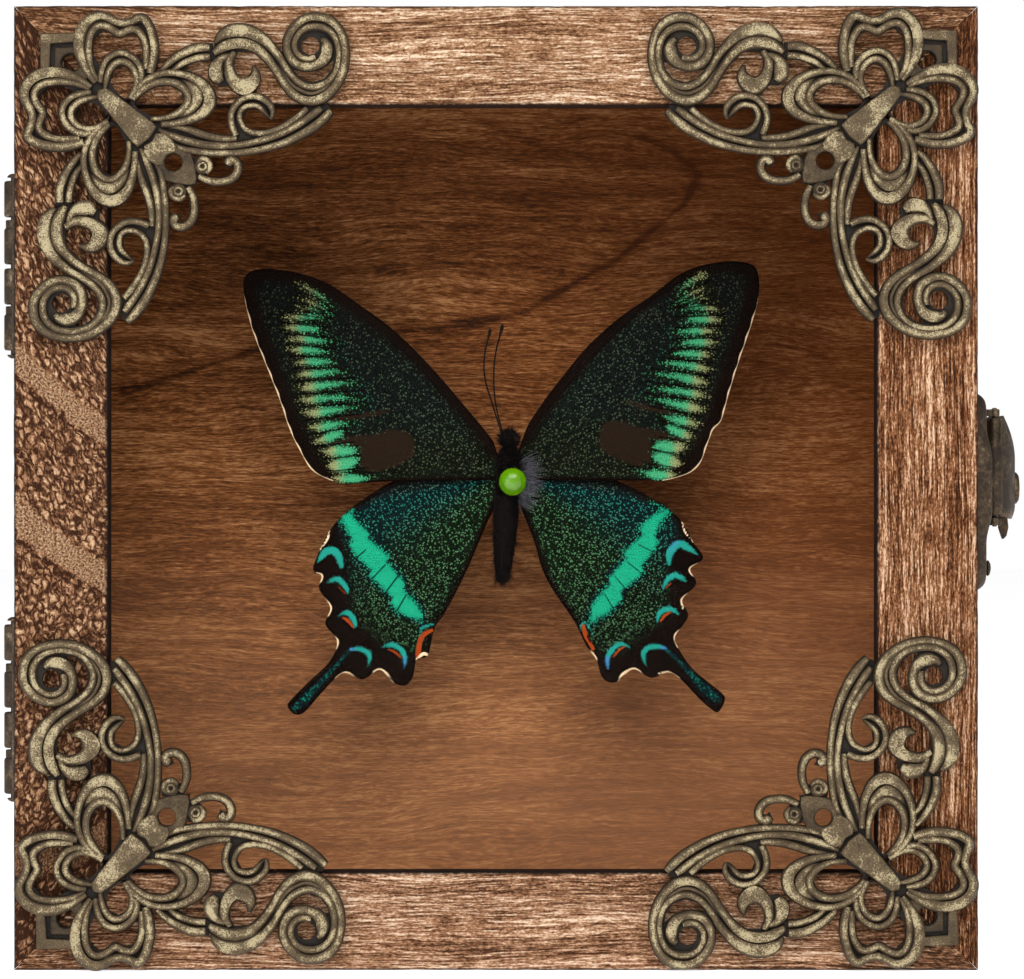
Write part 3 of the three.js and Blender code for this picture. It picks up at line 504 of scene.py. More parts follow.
def makeBacking():
    bm = bmesh.new()
    size = backing["half"] * 2
    cells = round(size / backing["cell"])
    turn = Matrix.Translation((0, backing["front"], half)) @ Matrix.Rotation(math.pi / 2, 4, "X")
    bmesh.ops.create_grid(bm, x_segments=cells, y_segments=cells, size=backing["half"], matrix=turn)
    hole = Vector((pin["x"], backing["front"], pin["z"]))
    near = [v for v in bm.verts if (v.co - hole).length < backing["cell"] * 1.1]
    bmesh.ops.delete(bm, geom=near, context="VERTS")
    rim = [v for v in bm.verts if v.is_boundary and (v.co - hole).length < 3]
    for v in rim:
        v.co = hole + (v.co - hole).normalized() * backing["holeRadius"]
    edges = [e for e in bm.edges if e.is_boundary and all(v in rim for v in e.verts)]
    wall = bmesh.ops.extrude_edge_only(bm, edges=edges)
    deep = newVerts(wall)
    bmesh.ops.translate(bm, vec=(0, 3, 0), verts=deep)
    floor = [e for e in bm.edges if e.is_boundary and all(v in deep for v in e.verts)]
    bmesh.ops.edgeloop_fill(bm, edges=floor)
    outer = [e for e in bm.edges if e.is_boundary]
    sides = bmesh.ops.extrude_edge_only(bm, edges=outer)
    rear = newVerts(sides)
    bmesh.ops.translate(bm, vec=(0, backing["thickness"], 0), verts=rear)
    bmesh.ops.edgeloop_fill(bm, edges=[e for e in bm.edges if e.is_boundary])
    bmesh.ops.recalc_face_normals(bm, faces=bm.faces)
    piece = finishPiece("veneered_back", bm, [veneer()], "box", ["backing_board"])
    places = vertexPlaces(piece)[:, (0, 2)]
    figure = np.zeros(len(places))
    for strength, points in figureLines:
        ragged = np.array([noise.noise(Vector((x * 0.12, z * 0.3, 4))) for x, z in places]) * 1.6
        off = distanceTo(points, places)
        line = np.exp(-(((off + ragged * 0.35) / 0.45) ** 2)) + 0.3 * np.exp(-(((off + ragged) / 1.8) ** 2))
        figure = np.maximum(figure, strength * line)
    setAttribute(piece, "figure", figure)
    sharpEdges(piece, 40)
    print("backing made")


def makeGlass():
    shader = Shader("clearPane")
    clear = shader.node("ShaderNodeBsdfTransparent")
    glass = shader.node("ShaderNodeBsdfPrincipled", inputs={
        "Base Color": (1, 1, 1, 1), "Roughness": 0.01, "IOR": 1.06, "Transmission Weight": 1.0,
        "Specular IOR Level": 0.1,
    })
    shadow = shader.node("ShaderNodeLightPath", output="Is Shadow Ray")
    shader.show(shader.node("ShaderNodeMixShader", inputs={0: shadow, 1: glass, 2: clear}))
    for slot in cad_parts["glass_pane"].material_slots:
        slot.material = shader.material
    print("glass made")


casting = {"plate": 1.2, "top": 1.98, "pivot": 13.76, "spread": 1.4}
castingPlaces = {  # quarter turns from the top left, then degrees and [across, down] shift
    "top_left": (0, 1.0, (0, -0.1)),
    "top_right": (1, -0.3, (-0.5, -0.9)),
    "bottom_right": (2, 1.7, (-0.9, -0.6)),
    "bottom_left": (3, 0.3, (-0.9, -0.8)),
}

# Ridges of half a casting: [across, down, width] from the outer corner of the lid. The other half
# is the same across the diagonal.
ridges = {
    "wingRim": [(12.9, 12.3, .6), (11.7, 10.4, 1.1), (10.7, 8, 1.4), (10.5, 6, 1.5), (10.9, 4.1, 1.5),
                (12, 2.6, 1.4), (13.4, 1.9, 1.3), (14.6, 2, 1.2), (15.9, 2.7, 1.1), (17.3, 3.1, 1),
                (18.8, 2.8, 1.1), (20.2, 2.3, 1.2), (21.2, 3.3, 1.2), (21.8, 5, 1.2), (22.1, 7.2, 1.2),
                (21.9, 9, 1.2), (21.4, 10.9, 1.1)],
    "wingInner": [(13.3, 12, .5), (12.4, 10.1, .8), (12, 8.2, 1), (12, 6.3, 1), (12.4, 4.6, 1),
                  (13.4, 3.5, 1), (14.7, 3.5, 1), (15.8, 4.1, 1), (16.8, 4.7, 1), (18, 4.2, 1),
                  (19.3, 4.1, 1), (20.2, 5, 1), (20.8, 6.5, .9), (20.9, 8.4, .9), (20.8, 10.3, .8)],
    "loopRim": [(13.7, 12.3, .6), (13.9, 10.6, .9), (14.6, 8.9, .9), (15.8, 7.9, .9), (17.2, 7.7, .9),
                (18.4, 8.2, .9), (19.5, 9.2, .9), (20.1, 10.6, .9), (20, 12.1, .8)],
    "loopInner": [(14.4, 13.2, .5), (14.7, 11.5, .8), (15.3, 10.1, .9), (16.2, 9.2, .9), (17.1, 9, .9),
                  (18.3, 9.5, .9), (19.1, 10.6, .8), (19.4, 12.1, .8), (19, 13.5, .8), (18.2, 14.8, .8)],
    "lowRim": [(18.6, 14.4, .6), (19.8, 12.8, .9), (21.3, 11.7, .9), (22.8, 11.1, .9), (24.7, 10.9, .9),
               (26.6, 11.2, 1), (28.3, 11.9, 1.2), (29.7, 13, 1.4), (30.5, 14.4, 1.6), (30.5, 15.8, 1.6),
               (29.7, 17, 1.4), (28.3, 17.9, 1.2), (26.6, 18.5, 1.1), (24.8, 18.8, .9), (23, 18.9, .8)],
    "lowInner": [(18.7, 15, .6), (19.8, 13.8, .9), (21.2, 12.8, 1), (22.8, 12.3, 1), (24.5, 12.3, 1),
                 (26.1, 12.9, 1.1), (27.1, 14, 1.1), (27.3, 15.2, 1.1), (26.5, 16.5, 1), (25.2, 17.4, .9),
                 (23.5, 17.9, .7), (21.4, 18, .6)],
    "lowLeaf": [(26.4, 12, .2), (27.5, 12.8, .9), (28.4, 13.8, 1.4), (28.7, 14.9, 1.5), (28.1, 16.2, 1.2),
                (27.1, 17.1, .9), (25.6, 17.9, .2)],
    "linkTop": [(23.2, 10.5, .6), (24.3, 9.4, .9), (25.7, 8.4, 1.1), (27.3, 7.6, 1.2), (29, 7.1, 1.2),
                (30.7, 7.1, 1.1)],
    "linkLow": [(25, 10.6, .5), (26.3, 9.6, .8), (27.7, 9, .9), (29.3, 8.6, .9), (30.7, 8.5, .9)],
    "scrollTop": [(31.6, 6.4, .5), (32.4, 5.5, 1.2), (33.5, 4.8, 1.6), (34.9, 4.5, 1.7), (36.3, 4.6, 1.7),
                  (37.7, 5.1, 1.6), (39.1, 6, 1.4), (40.3, 7.2, 1.2), (41.4, 8.5, 1.1), (42.4, 10.3, .9),
                  (43.5, 11.8, .9), (44.9, 13, 1), (46.7, 13.5, 1), (48.4, 13, 1), (49.9, 11.7, .9),
                  (50.6, 9.8, .9), (50.7, 7.6, .9), (50, 5.6, .9), (48.6, 4.4, 1), (46.9, 4.1, 1),
                  (45.4, 4.5, .9), (44.3, 5.6, .9), (43.9, 7, .9), (44.4, 8.4, .9), (45.7, 9.1, .9),
                  (47.1, 8.9, .9)],
    "scrollLow": [(31.3, 8, .8), (32.7, 7.1, 1.4), (34.3, 6.6, 1.5), (36.1, 6.6, 1.5), (37.8, 7.2, 1.4),
                  (39.2, 8.4, 1.2), (40.4, 9.9, 1.1), (41.5, 11.6, 1.1), (42.5, 13.3, 1.1),
                  (43.7, 14.6, 1.2), (45.1, 15.4, 1.2), (46.7, 15.6, 1.3), (48.4, 15, 1.3),
                  (50, 13.5, 1.2), (51.1, 11.6, 1.2), (51.7, 9.3, 1.1), (51.6, 6.9, 1.1),
                  (50.9, 4.8, 1.1), (49.5, 3.3, 1.2), (47.7, 2.7, 1.2), (45.9, 2.8, 1.2),
                  (44.2, 3.9, 1.2), (43.1, 5.4, 1.2), (42.7, 7, 1.1), (43.1, 8.6, 1.2), (44.1, 9.8, 1.2),
                  (45.5, 10.3, 1.2), (47.1, 10.1, 1.2), (48.4, 9.2, 1.5), (48.9, 7.8, 1.6),
                  (48.6, 6.5, 1.2), (48, 6, .6)],
    "scrollMid": [(41.4, 9.9, .2), (42.3, 11.5, .4), (43.3, 13, .5), (44.7, 14, .5), (46.4, 14.5, .5),
                  (48.1, 14, .5), (49.5, 12.8, .4), (50.5, 11.2, .2)],
    "leafLobe": [(33.8, 8.3, .6), (32.4, 9, 1.2), (31.7, 10.2, 1.7), (31.7, 11.4, 1.9), (32.4, 12.5, 1.1)],
    "leafCurl": [(34.6, 7.8, .8), (33.7, 9.3, 1.2), (33.8, 11, 1.4), (34.5, 12.4, 1.7), (35.8, 13.2, 2.3),
                 (37, 12.7, 2), (37.7, 11.6, 1.4), (37.5, 10, .4)],
    "hookRim": [(34.6, 20.8, .9), (34, 19.4, .9), (33.9, 17.5, .9), (34.7, 16, .9), (36, 15, .9),
                (37.7, 14.8, .9), (39.1, 15.4, .9), (40.1, 16.5, .8), (40.3, 17.5, .6), (40, 18.4, .4)],
    "hookInner": [(39.8, 18.1, .3), (38.9, 17.1, .6), (38, 16.3, .7), (36.8, 16.2, .7), (35.7, 16.6, .7),
                  (35.2, 17.7, .7), (35.5, 19, .7), (36.3, 20, .8), (37.7, 20.5, .8), (39.4, 20.4, .8),
                  (41.1, 19.9, .8), (42.7, 19.1, .9), (44.3, 18, .9), (45.7, 16.8, .8)],
    "armTop": [(24.1, 19.3, .3), (25.9, 19.5, .6), (27.6, 19.9, 1), (29.5, 20.6, 1), (31.3, 21.1, 1),
               (33.2, 21.3, .9), (34.7, 21.3, .7)],
    "armMid": [(22.6, 19.7, .5), (24.8, 20.7, .9), (27.3, 21.6, 1.1), (29.9, 22.2, 1.1), (32.5, 22.4, 1),
               (35, 22.3, .9), (37.7, 21.8, .9), (40.3, 21.1, .9), (42.8, 20.1, .9), (45.2, 18.7, 1),
               (46.9, 17.5, 1.1), (47.9, 16.8, .8)],
    "armLow": [(24.9, 21.9, .3), (26.2, 22.7, .7), (28, 23.1, .9), (30.3, 23.4, .9), (33, 23.5, .9),
               (35.6, 23.4, .9), (38.4, 23, .9), (41.2, 22.3, 1), (43.9, 21.2, 1.1), (46.4, 19.8, 1.2),
               (48.3, 18.3, 1.2), (49.4, 17.2, .9)],
    "bossRim": [(28.6, 24.9, .5), (29.2, 24.3, .7), (30.2, 24.7, .7), (30.5, 25.7, .7), (29.9, 26.6, .5)],
    "thinCurl": [(28.7, 27, .8), (29.8, 27.6, .9), (31, 27.9, 1), (32.4, 27.9, 1), (33.7, 27.5, 1.1),
                 (34.6, 26.6, 1.1), (34.8, 25.6, 1.1), (34.3, 24.7, 1.1), (33.5, 24.8, 1.3),
                 (33.2, 25.3, 1.1)],
}


def antiqueBrass():
    shader = Shader("antiqueBrass")
    place = shader.objectPlace()
    lift = (lidFront - shader.axis(place, "Y")) / 2.0  # 0 at the wood, 1 at the highest ridge
    grain = shader.noise(place, 4.2, 4.0, 0.78)
    patches = shader.noise(place, 0.35, 3.0)
    pits = shader.cells(place, 3.4)
    worn = lift + (grain - 0.5) * 0.6 + (patches - 0.5) * 0.4
    colour = shader.ramp(
        worn, (0.5, rgb(23, 19, 16)), (0.68, rgb(48, 40, 32)), (0.84, rgb(84, 70, 53)),
        (1.0, rgb(124, 107, 81)), (1.2, rgb(196, 180, 142)),
    )
    metal = worn.step(0.5, 0.9) * 0.45 + 0.35
    rough = 0.54 - worn.step(0.6, 1.05) * 0.24 + (grain - 0.5) * 0.3
    bumps = grain * 0.75 + pits * 0.25
    shader.surface(colour, rough, metal, normal=shader.bump(bumps, 0.2))
    return shader


def ridgeMesh():  # all ridges as one mesh, round in section and as high as their width lets them be
    strokes = []
    for points in ridges.values():
        thick = [width / 2 * casting["spread"] for _, _, width in points]
        lift = [max(casting["plate"], min(casting["top"] - r, casting["plate"] + 0.7 * r)) for r in thick]
        depth = [lidFront - height for height in lift]
        strokes.append([(a, y, -b, r) for (a, b, _), y, r in zip(points, depth, thick)])
        strokes.append([(b, y, -a, r) for (a, b, _), y, r in zip(points, depth, thick)])
    return tubeMesh(strokes)


def addPlate(bm, marks, base, top, rounding, hole=None):  # a raised flat part, marks as [across, down]
    outer = [bm.verts.new((a, lidFront - base, -b)) for a, b in marks]
    if hole is None:
        faces = [bm.faces.new(outer)]
    else:
        edges = [bm.edges.new(pair) for pair in zip(outer, outer[1:] + outer[:1])]
        subdivided = bmesh.ops.subdivide_edges(bm, edges=edges, cuts=3)
        edges = [e for e in subdivided["geom"] if isinstance(e, bmesh.types.BMEdge)]
        across, down, radius = hole
        turn = Matrix.Translation((across, lidFront - base, -down)) @ Matrix.Rotation(math.pi / 2, 4, "X")
        circle = bmesh.ops.create_circle(bm, segments=len(marks) * 4, radius=radius, matrix=turn)
        edges += list({e for v in circle["verts"] for e in v.link_edges})
        faces = bmesh.ops.bridge_loops(bm, edges=edges)["faces"]
    raised = bmesh.ops.extrude_face_region(bm, geom=faces, use_keep_orig=True)
    verts = newVerts(raised)
    bmesh.ops.translate(bm, vec=(0, base - top, 0), verts=verts)
    bm.normal_update()
    rims = [e for e in bm.edges if all(v in verts for v in e.verts) and len(e.link_faces) == 2
            and e.calc_face_angle() > 0.8]
    roundEdges(bm, rims, rounding)


castingTab = {
    "rim": [(4.45, 4.45), (10.4, 4.45), (10.0, 5.9), (6.1, 6.1), (5.9, 10.0), (4.45, 10.4)],
    "plate": [(6.7, 6.7), (9.9, 6.6), (11.4, 8.4), (11.7, 11.7), (8.4, 11.4), (6.6, 9.9)],
    "hole": (9.1, 9.1, 1.5),
}
bodyPlate = [(13.3, 13.3), (14.6, 13.0), (18.4, 15.9), (21.6, 18.4), (22.4, 19.3), (21.1, 21.1),
             (19.3, 22.4), (18.4, 21.6), (15.9, 18.4), (13.0, 14.6)]
leafPlate = [(21.5, 21.5), (22.1, 20.3), (23.3, 20.1), (24.5, 20.9), (25.3, 22.2), (25.2, 23.2),
             (23.7, 23.7),
             (23.2, 25.2), (22.2, 25.3), (20.9, 24.5), (20.1, 23.3), (20.3, 22.1)]
screwPlate = [(22.7, 22.7), (24.6, 22.3), (26.3, 22.5), (27.6, 23.4), (28.1, 25.1), (28.4, 27.2),
              (28.2, 28.2), (27.2, 28.4), (25.1, 28.1), (23.4, 27.6), (22.5, 26.3), (22.3, 24.6)]
screwHole = (24.8, 24.8, 1.36)
eyeBoss = [(1.3, 0.3), (1.3, 1.35), (1.1, 1.6), (0.78, 1.62), (0.68, 1.88), (0.42, 1.88), (0.3, 1.5),
           (0.0, 1.45)]


def makeCasting(corner, shader):
    node = f"corner_casting_{corner}"
    quarters, degrees, (shiftAcross, shiftDown) = castingPlaces[corner]
    bm = bmesh.new()
    bm.from_mesh(ridgeMesh())
    topLimit, lowLimit = lidFront - casting["top"], lidFront - 0.15
    for v in bm.verts:
        v.co.y = min(max(v.co.y, topLimit), lowLimit)
    addPlate(bm, castingTab["rim"], 0.3, 1.8, 0.25)
    addPlate(bm, castingTab["plate"], 0.3, 1.6, 0.2, castingTab["hole"])
    addPlate(bm, bodyPlate, 0.3, 1.88, 0.3)
    addPlate(bm, leafPlate, 0.3, 1.9, 0.3)
    addPlate(bm, screwPlate, 0.3, 1.7, 0.25, screwHole)
    for across, down in ((29.3, 25.5), (25.5, 29.3)):
        addLathe(bm, eyeBoss, (across, lidFront, -down), (0, -1, 0), 20)
    pivot = casting["pivot"]
    place = (
        Matrix.Translation((0, 0, half))
        @ Matrix.Rotation(quarters * math.pi / 2, 4, "Y")
        @ Matrix.Translation((-half + pivot + shiftAcross, 0, half - pivot - shiftDown))
        @ Matrix.Rotation(-math.radians(degrees), 4, "Y")
        @ Matrix.Translation((-pivot, 0, pivot))
    )
    bmesh.ops.transform(bm, matrix=place, verts=bm.verts)
    plate = bmesh.new()
    plate.from_mesh(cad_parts[node].data)
    bmesh.ops.scale(plate, vec=(1 / mm,) * 3, verts=plate.verts)
    bmesh.ops.remove_doubles(plate, verts=plate.verts, dist=1e-3)
    for v in plate.verts:
        if v.co.y < lidFront - 1:
            v.co.y = lidFront - casting["plate"]
    whole = bpy.data.meshes.new("casting")
    plate.to_mesh(whole)
    plate.free()
    bm.from_mesh(whole)
    bmesh.ops.recalc_face_normals(bm, faces=bm.faces)
    piece = finishPiece(f"filigree_{corner}", bm, [shader], "lid", [node])
    sharpEdges(piece, 45)


def makeCastings():
    shader = antiqueBrass()
    for corner in castingPlaces:
        makeCasting(corner, shader)
    print("castings made")


hinge = {
    "heights": {"upper": 110.3, "lower": 39.8}, "axisX": -76.7, "radius": 1.6, "knuckle": 5.7,
    "starts": {"lid": (-6.1, 7.8), "box": (-13.4, 0.3)}, "half": 14.0, "leaf": 0.9, "length": 7.0,
    "clearance": 0.35, "neck": (1.35, 1.3), "headRadius": 1.1,
}
nail = {  # shanks at the hinges (-1) and at the clasp (1), whose heads stand on the thinner plate ends
    "radius": 1.25, "rise": 0.6, "hinge": 8.5, "clasp": 12.0, "shank": {-1: 0.5, 1: 1.1},
    "sunk": {"low": 0.3, "high": 0.9}, "foot": 0.8, "dents": 0.05,
}
clasp = {
    "height": 74.4, "tall": 30.8, "wide": 11.4, "thick": 2.5, "lidY": -15.3, "boxY": -1.7,
    "axis": (78.9, -11.2), "low": 70.6, "high": 86.0, "barrel": 1.1, "flap": 1.3,
    "stud": (3.0, 75.0, 1.3), "lug": 1.2, "grip": 8.0, "middle": (71.5, 79.5), "thinning": 0.36,
    "rings": (66.5, 67.5, 68.7, 69.9, 70.8, 71.5, 79.5, 80.4, 81.6, 82.9, 84.0, 84.8),
    "embossing": ((0.3, 0.75), (0.35, 0.6), (0.4, 0.4), (0.3, 0.15), (0.7, 0.0), (0.25, -0.3),
                  (0.35, 0.0), (0.3, 0.2)),  # inset and rise
    "bow": [(0, 0.2), (1.7, 2.4), (2.9, 6), (3, 10), (1.9, 14), (0.6, 17)],
    "tail": [(0.6, 0.6), (1.9, 0.8), (2.2, -1.8), (1.9, -3.2), (1.4, -3.7), (0.8, -1.9), (0.9, -1)],
}


def agedBronze():
    shader = Shader("agedBronze")
    place = shader.objectPlace()
    grain = shader.noise(place, 1.9, 4.0, 0.6)
    patches = shader.noise(place, 0.32, 3.0, 0.6, 0.5)
    pits = shader.cells(place, 2.2)
    tone = patches * 0.6 + grain * 0.4
    colour = shader.ramp(
        tone, (0.3, rgb(38, 31, 27)), (0.47, rgb(70, 58, 47)), (0.58, rgb(104, 88, 70)),
        (0.72, rgb(168, 152, 128)),
    )
    rough = 0.42 + grain * 0.25 - tone.step(0.5, 0.75) * 0.15
    metal = tone.step(0.3, 0.6) * 0.45 + 0.5
    shader.surface(colour, rough, metal, normal=shader.bump(grain * 0.6 + pits * 0.4, 0.1))
    return shader


def addLathe(bm, profile, start, axis, sides=32):  # profile of (radius, distance along the axis)
    start, axis = Vector(start), Vector(axis).normalized()
    turn = Vector((0, 0, 1)).rotation_difference(axis).to_matrix()
    verts = [bm.verts.new(start + turn @ Vector((r, 0, h))) for r, h in profile]
    edges = [bm.edges.new(pair) for pair in zip(verts, verts[1:])]
    bmesh.ops.spin(
        bm, geom=verts + edges, cent=start, axis=axis, dvec=(0, 0, 0), angle=2 * math.pi,
        steps=sides, use_merge=True, use_duplicate=False,
    )


def makeHinges(shader):
    for name, middle in hinge["heights"].items():
        for part, side in (("lid", -1), ("box", 1)):
            bm = bmesh.new()
            near = seamY + side * (hinge["radius"] + hinge["clearance"])
            far = near + side * hinge["length"]
            outer = -half - hinge["leaf"]
            low = (outer, min(near, far), middle - hinge["half"])
            high = (-half, max(near, far), middle + hinge["half"])
            addBox(bm, low, high, 0.22)
            for start in hinge["starts"][part]:
                z0, z1 = middle + start, middle + start + hinge["knuckle"]
                inner = seamY + side * hinge["radius"] * 0.6
                reach = near + side * 0.4
                addBox(bm, (outer - 0.1, min(inner, reach), z0), (-half - 0.1, max(inner, reach), z1), 0.12)
                r = hinge["radius"]
                profile = [(0.62, 0.12), (0.85, 0.0), (r - 0.3, 0.0), (r - 0.08, 0.1), (r, 0.4)]
                length = hinge["knuckle"]
                profile += [(radius, length - h) for radius, h in reversed(profile)]
                addLathe(bm, profile, (hinge["axisX"], seamY, z0), (0, 0, 1))
                if part == "box":
                    neckRadius, neckLength = hinge["neck"]
                    top = z1 + neckLength
                    addCylinder(bm, neckRadius, (hinge["axisX"], seamY, z1 - 0.4),
                                (hinge["axisX"], seamY, top),
                                rounding=0.12)
            bmesh.ops.recalc_face_normals(bm, faces=bm.faces)
            node = f"hinge_{name}_{part}_leaf"
            piece = finishPiece(f"rolled_{node}", bm, [shader], part, [node])
            sharpEdges(piece, 35)
        bm = bmesh.new()
        r, end = hinge["headRadius"], hinge["half"]
        cap = [(0, 0.62), (0.5, 0.58), (0.9, 0.38), (r, 0.12), (r, 0.0), (0.55, 0.0)]
        profile = [(radius, -h) for radius, h in cap]
        profile += [(radius, 2 * end + 0.2 + h) for radius, h in reversed(cap)]
        addLathe(bm, profile, (hinge["axisX"], seamY, middle - end - 0.1), (0, 0, 1))
        bmesh.ops.recalc_face_normals(bm, faces=bm.faces)
        node = f"hinge_{name}_pin"
        sharpEdges(finishPiece(f"headed_{node}", bm, [shader], "box", [node]), 40)
    print("hinges made")


def makeNails(shader):
    r, rise = nail["radius"], nail["rise"]
    dome = [(r * math.cos(a), rise * (0.15 + 0.85 * math.sin(a))) for a in spaced(0, math.pi / 2, 0.25)]
    leafMiddle = hinge["radius"] + hinge["clearance"] + hinge["length"] / 2
    spots = []
    for name, middle in hinge["heights"].items():
        for part, side in (("lid", -1), ("box", 1)):
            for end, offset in (("low", -nail["hinge"]), ("high", nail["hinge"])):
                place = (-half - hinge["leaf"], seamY + side * leafMiddle, middle + offset)
                spots.append((f"hinge_nail_{name}_{part}_{end}", part, place, -1))
    for part, y in (("lid", clasp["lidY"]), ("box", clasp["boxY"])):
        for end, offset in (("low", -nail["clasp"]), ("high", nail["clasp"])):
            place = (half + clasp["thick"] - nail["sunk"][end], y, clasp["height"] + offset)
            spots.append((f"clasp_nail_{part}_{end}", part, place, 1))
    for node, part, place, side in spots:
        bm = bmesh.new()
        shank, foot = nail["shank"][side], -nail["foot"]
        profile = [(0.0, foot), (shank, foot), (shank, 0.0), (r * 0.96, 0.0)] + dome + [(0.0, rise)]
        addLathe(bm, profile, place, (side, 0, 0), 24)
        for v in bm.verts:  # hammered by hand
            v.co.x -= side * nail["dents"] * abs(noise.noise(v.co * 1.3)) * (abs(v.co.x - place[0]) > 0.1)
        bmesh.ops.recalc_face_normals(bm, faces=bm.faces)
        finishPiece(f"domed_{node}", bm, [shader], part, [node])
    print("nails made")


def addClaspPlate(bm, middleY):
    wide, tall, base = clasp["wide"], clasp["tall"], 0.6
    centre = (half + base / 2, middleY, clasp["height"])
    place = Matrix.Translation(centre) @ Matrix.Diagonal((base, wide, tall, 1))
    made = bmesh.ops.create_cube(bm, size=1, matrix=place)
    edges = {e for v in made["verts"] for e in v.link_edges}
    corners = [e for e in edges if abs(e.verts[0].co.x - e.verts[1].co.x) > base / 2]
    bmesh.ops.bevel(bm, geom=corners, offset=3.4, offset_type="OFFSET", affect="EDGES", segments=8,
                    profile=0.5, material=-1, clamp_overlap=True)
    front = max(bm.faces, key=lambda face: face.calc_center_median().x)
    for inset, rise in clasp["embossing"]:
        bmesh.ops.inset_region(bm, faces=[front], thickness=inset, depth=rise, use_even_offset=True)
    for z in clasp["rings"]:
        parts = bm.verts[:] + bm.edges[:] + bm.faces[:]
        bmesh.ops.bisect_plane(bm, geom=parts, plane_co=(0, 0, z), plane_no=(0, 0, 1), dist=1e-4)
    for v in bm.verts:  # both ends are flatter than the middle
        low, high = clasp["middle"]
        flat = min(1.0, max(0.0, (low - v.co.z) / 5.0, (v.co.z - high) / 5.3))
        v.co.x -= (v.co.x - half) * clasp["thinning"] * flat * flat * (3 - 2 * flat)


def makeClasp(shader):
    face = half + clasp["thick"]
    axisX, axisY = clasp["axis"]
    lug = clasp["lug"]
    bm = bmesh.new()
    addClaspPlate(bm, clasp["lidY"])
    for z, r in ((clasp["low"] - 0.3 - lug, clasp["barrel"]), (clasp["high"] + 0.3, clasp["barrel"] - 0.3)):
        addCylinder(bm, r, (axisX, axisY, z), (axisX, axisY, z + lug), rounding=0.2)
        addBox(bm, (face - 1.3, axisY - 0.7, z + 0.05), (axisX - 0.3, axisY + 0.7, z + lug - 0.05), 0.15)
    bmesh.ops.recalc_face_normals(bm, faces=bm.faces)
    sharpEdges(finishPiece("embossed_lid_plate", bm, [shader], "lid", ["clasp_lid_plate"]), 35)

    bm = bmesh.new()
    reach = 0.3 + lug + 0.2
    r, low, high = 0.4, clasp["low"] - reach, clasp["high"] + reach
    profile = [(0, low), (r * 0.7, low), (r, low + 0.15), (r, high - 0.15), (r * 0.7, high), (0, high)]
    addLathe(bm, profile, (axisX, axisY, 0), (0, 0, 1), 16)
    bmesh.ops.recalc_face_normals(bm, faces=bm.faces)
    sharpEdges(finishPiece("turned_clasp_pin", bm, [shader], "lid", ["clasp_pin"]), 40)

    bm = bmesh.new()
    addClaspPlate(bm, clasp["boxY"])
    studY, studZ, r = clasp["stud"]
    profile = [(0, 0), (r, 0), (r, 0.7), (r - 0.3, 1.2), (r - 0.3, 3.7), (r, 4.2), (r, 4.8),
               (r - 0.35, 5.15), (0, 5.2)]
    addLathe(bm, profile, (face - 0.4, studY, studZ), (1, 0, 0))
    bmesh.ops.recalc_face_normals(bm, faces=bm.faces)
    sharpEdges(finishPiece("embossed_box_plate", bm, [shader], "box", ["clasp_box_plate"]), 35)
    makeFlap(shader)
    print("clasp made")


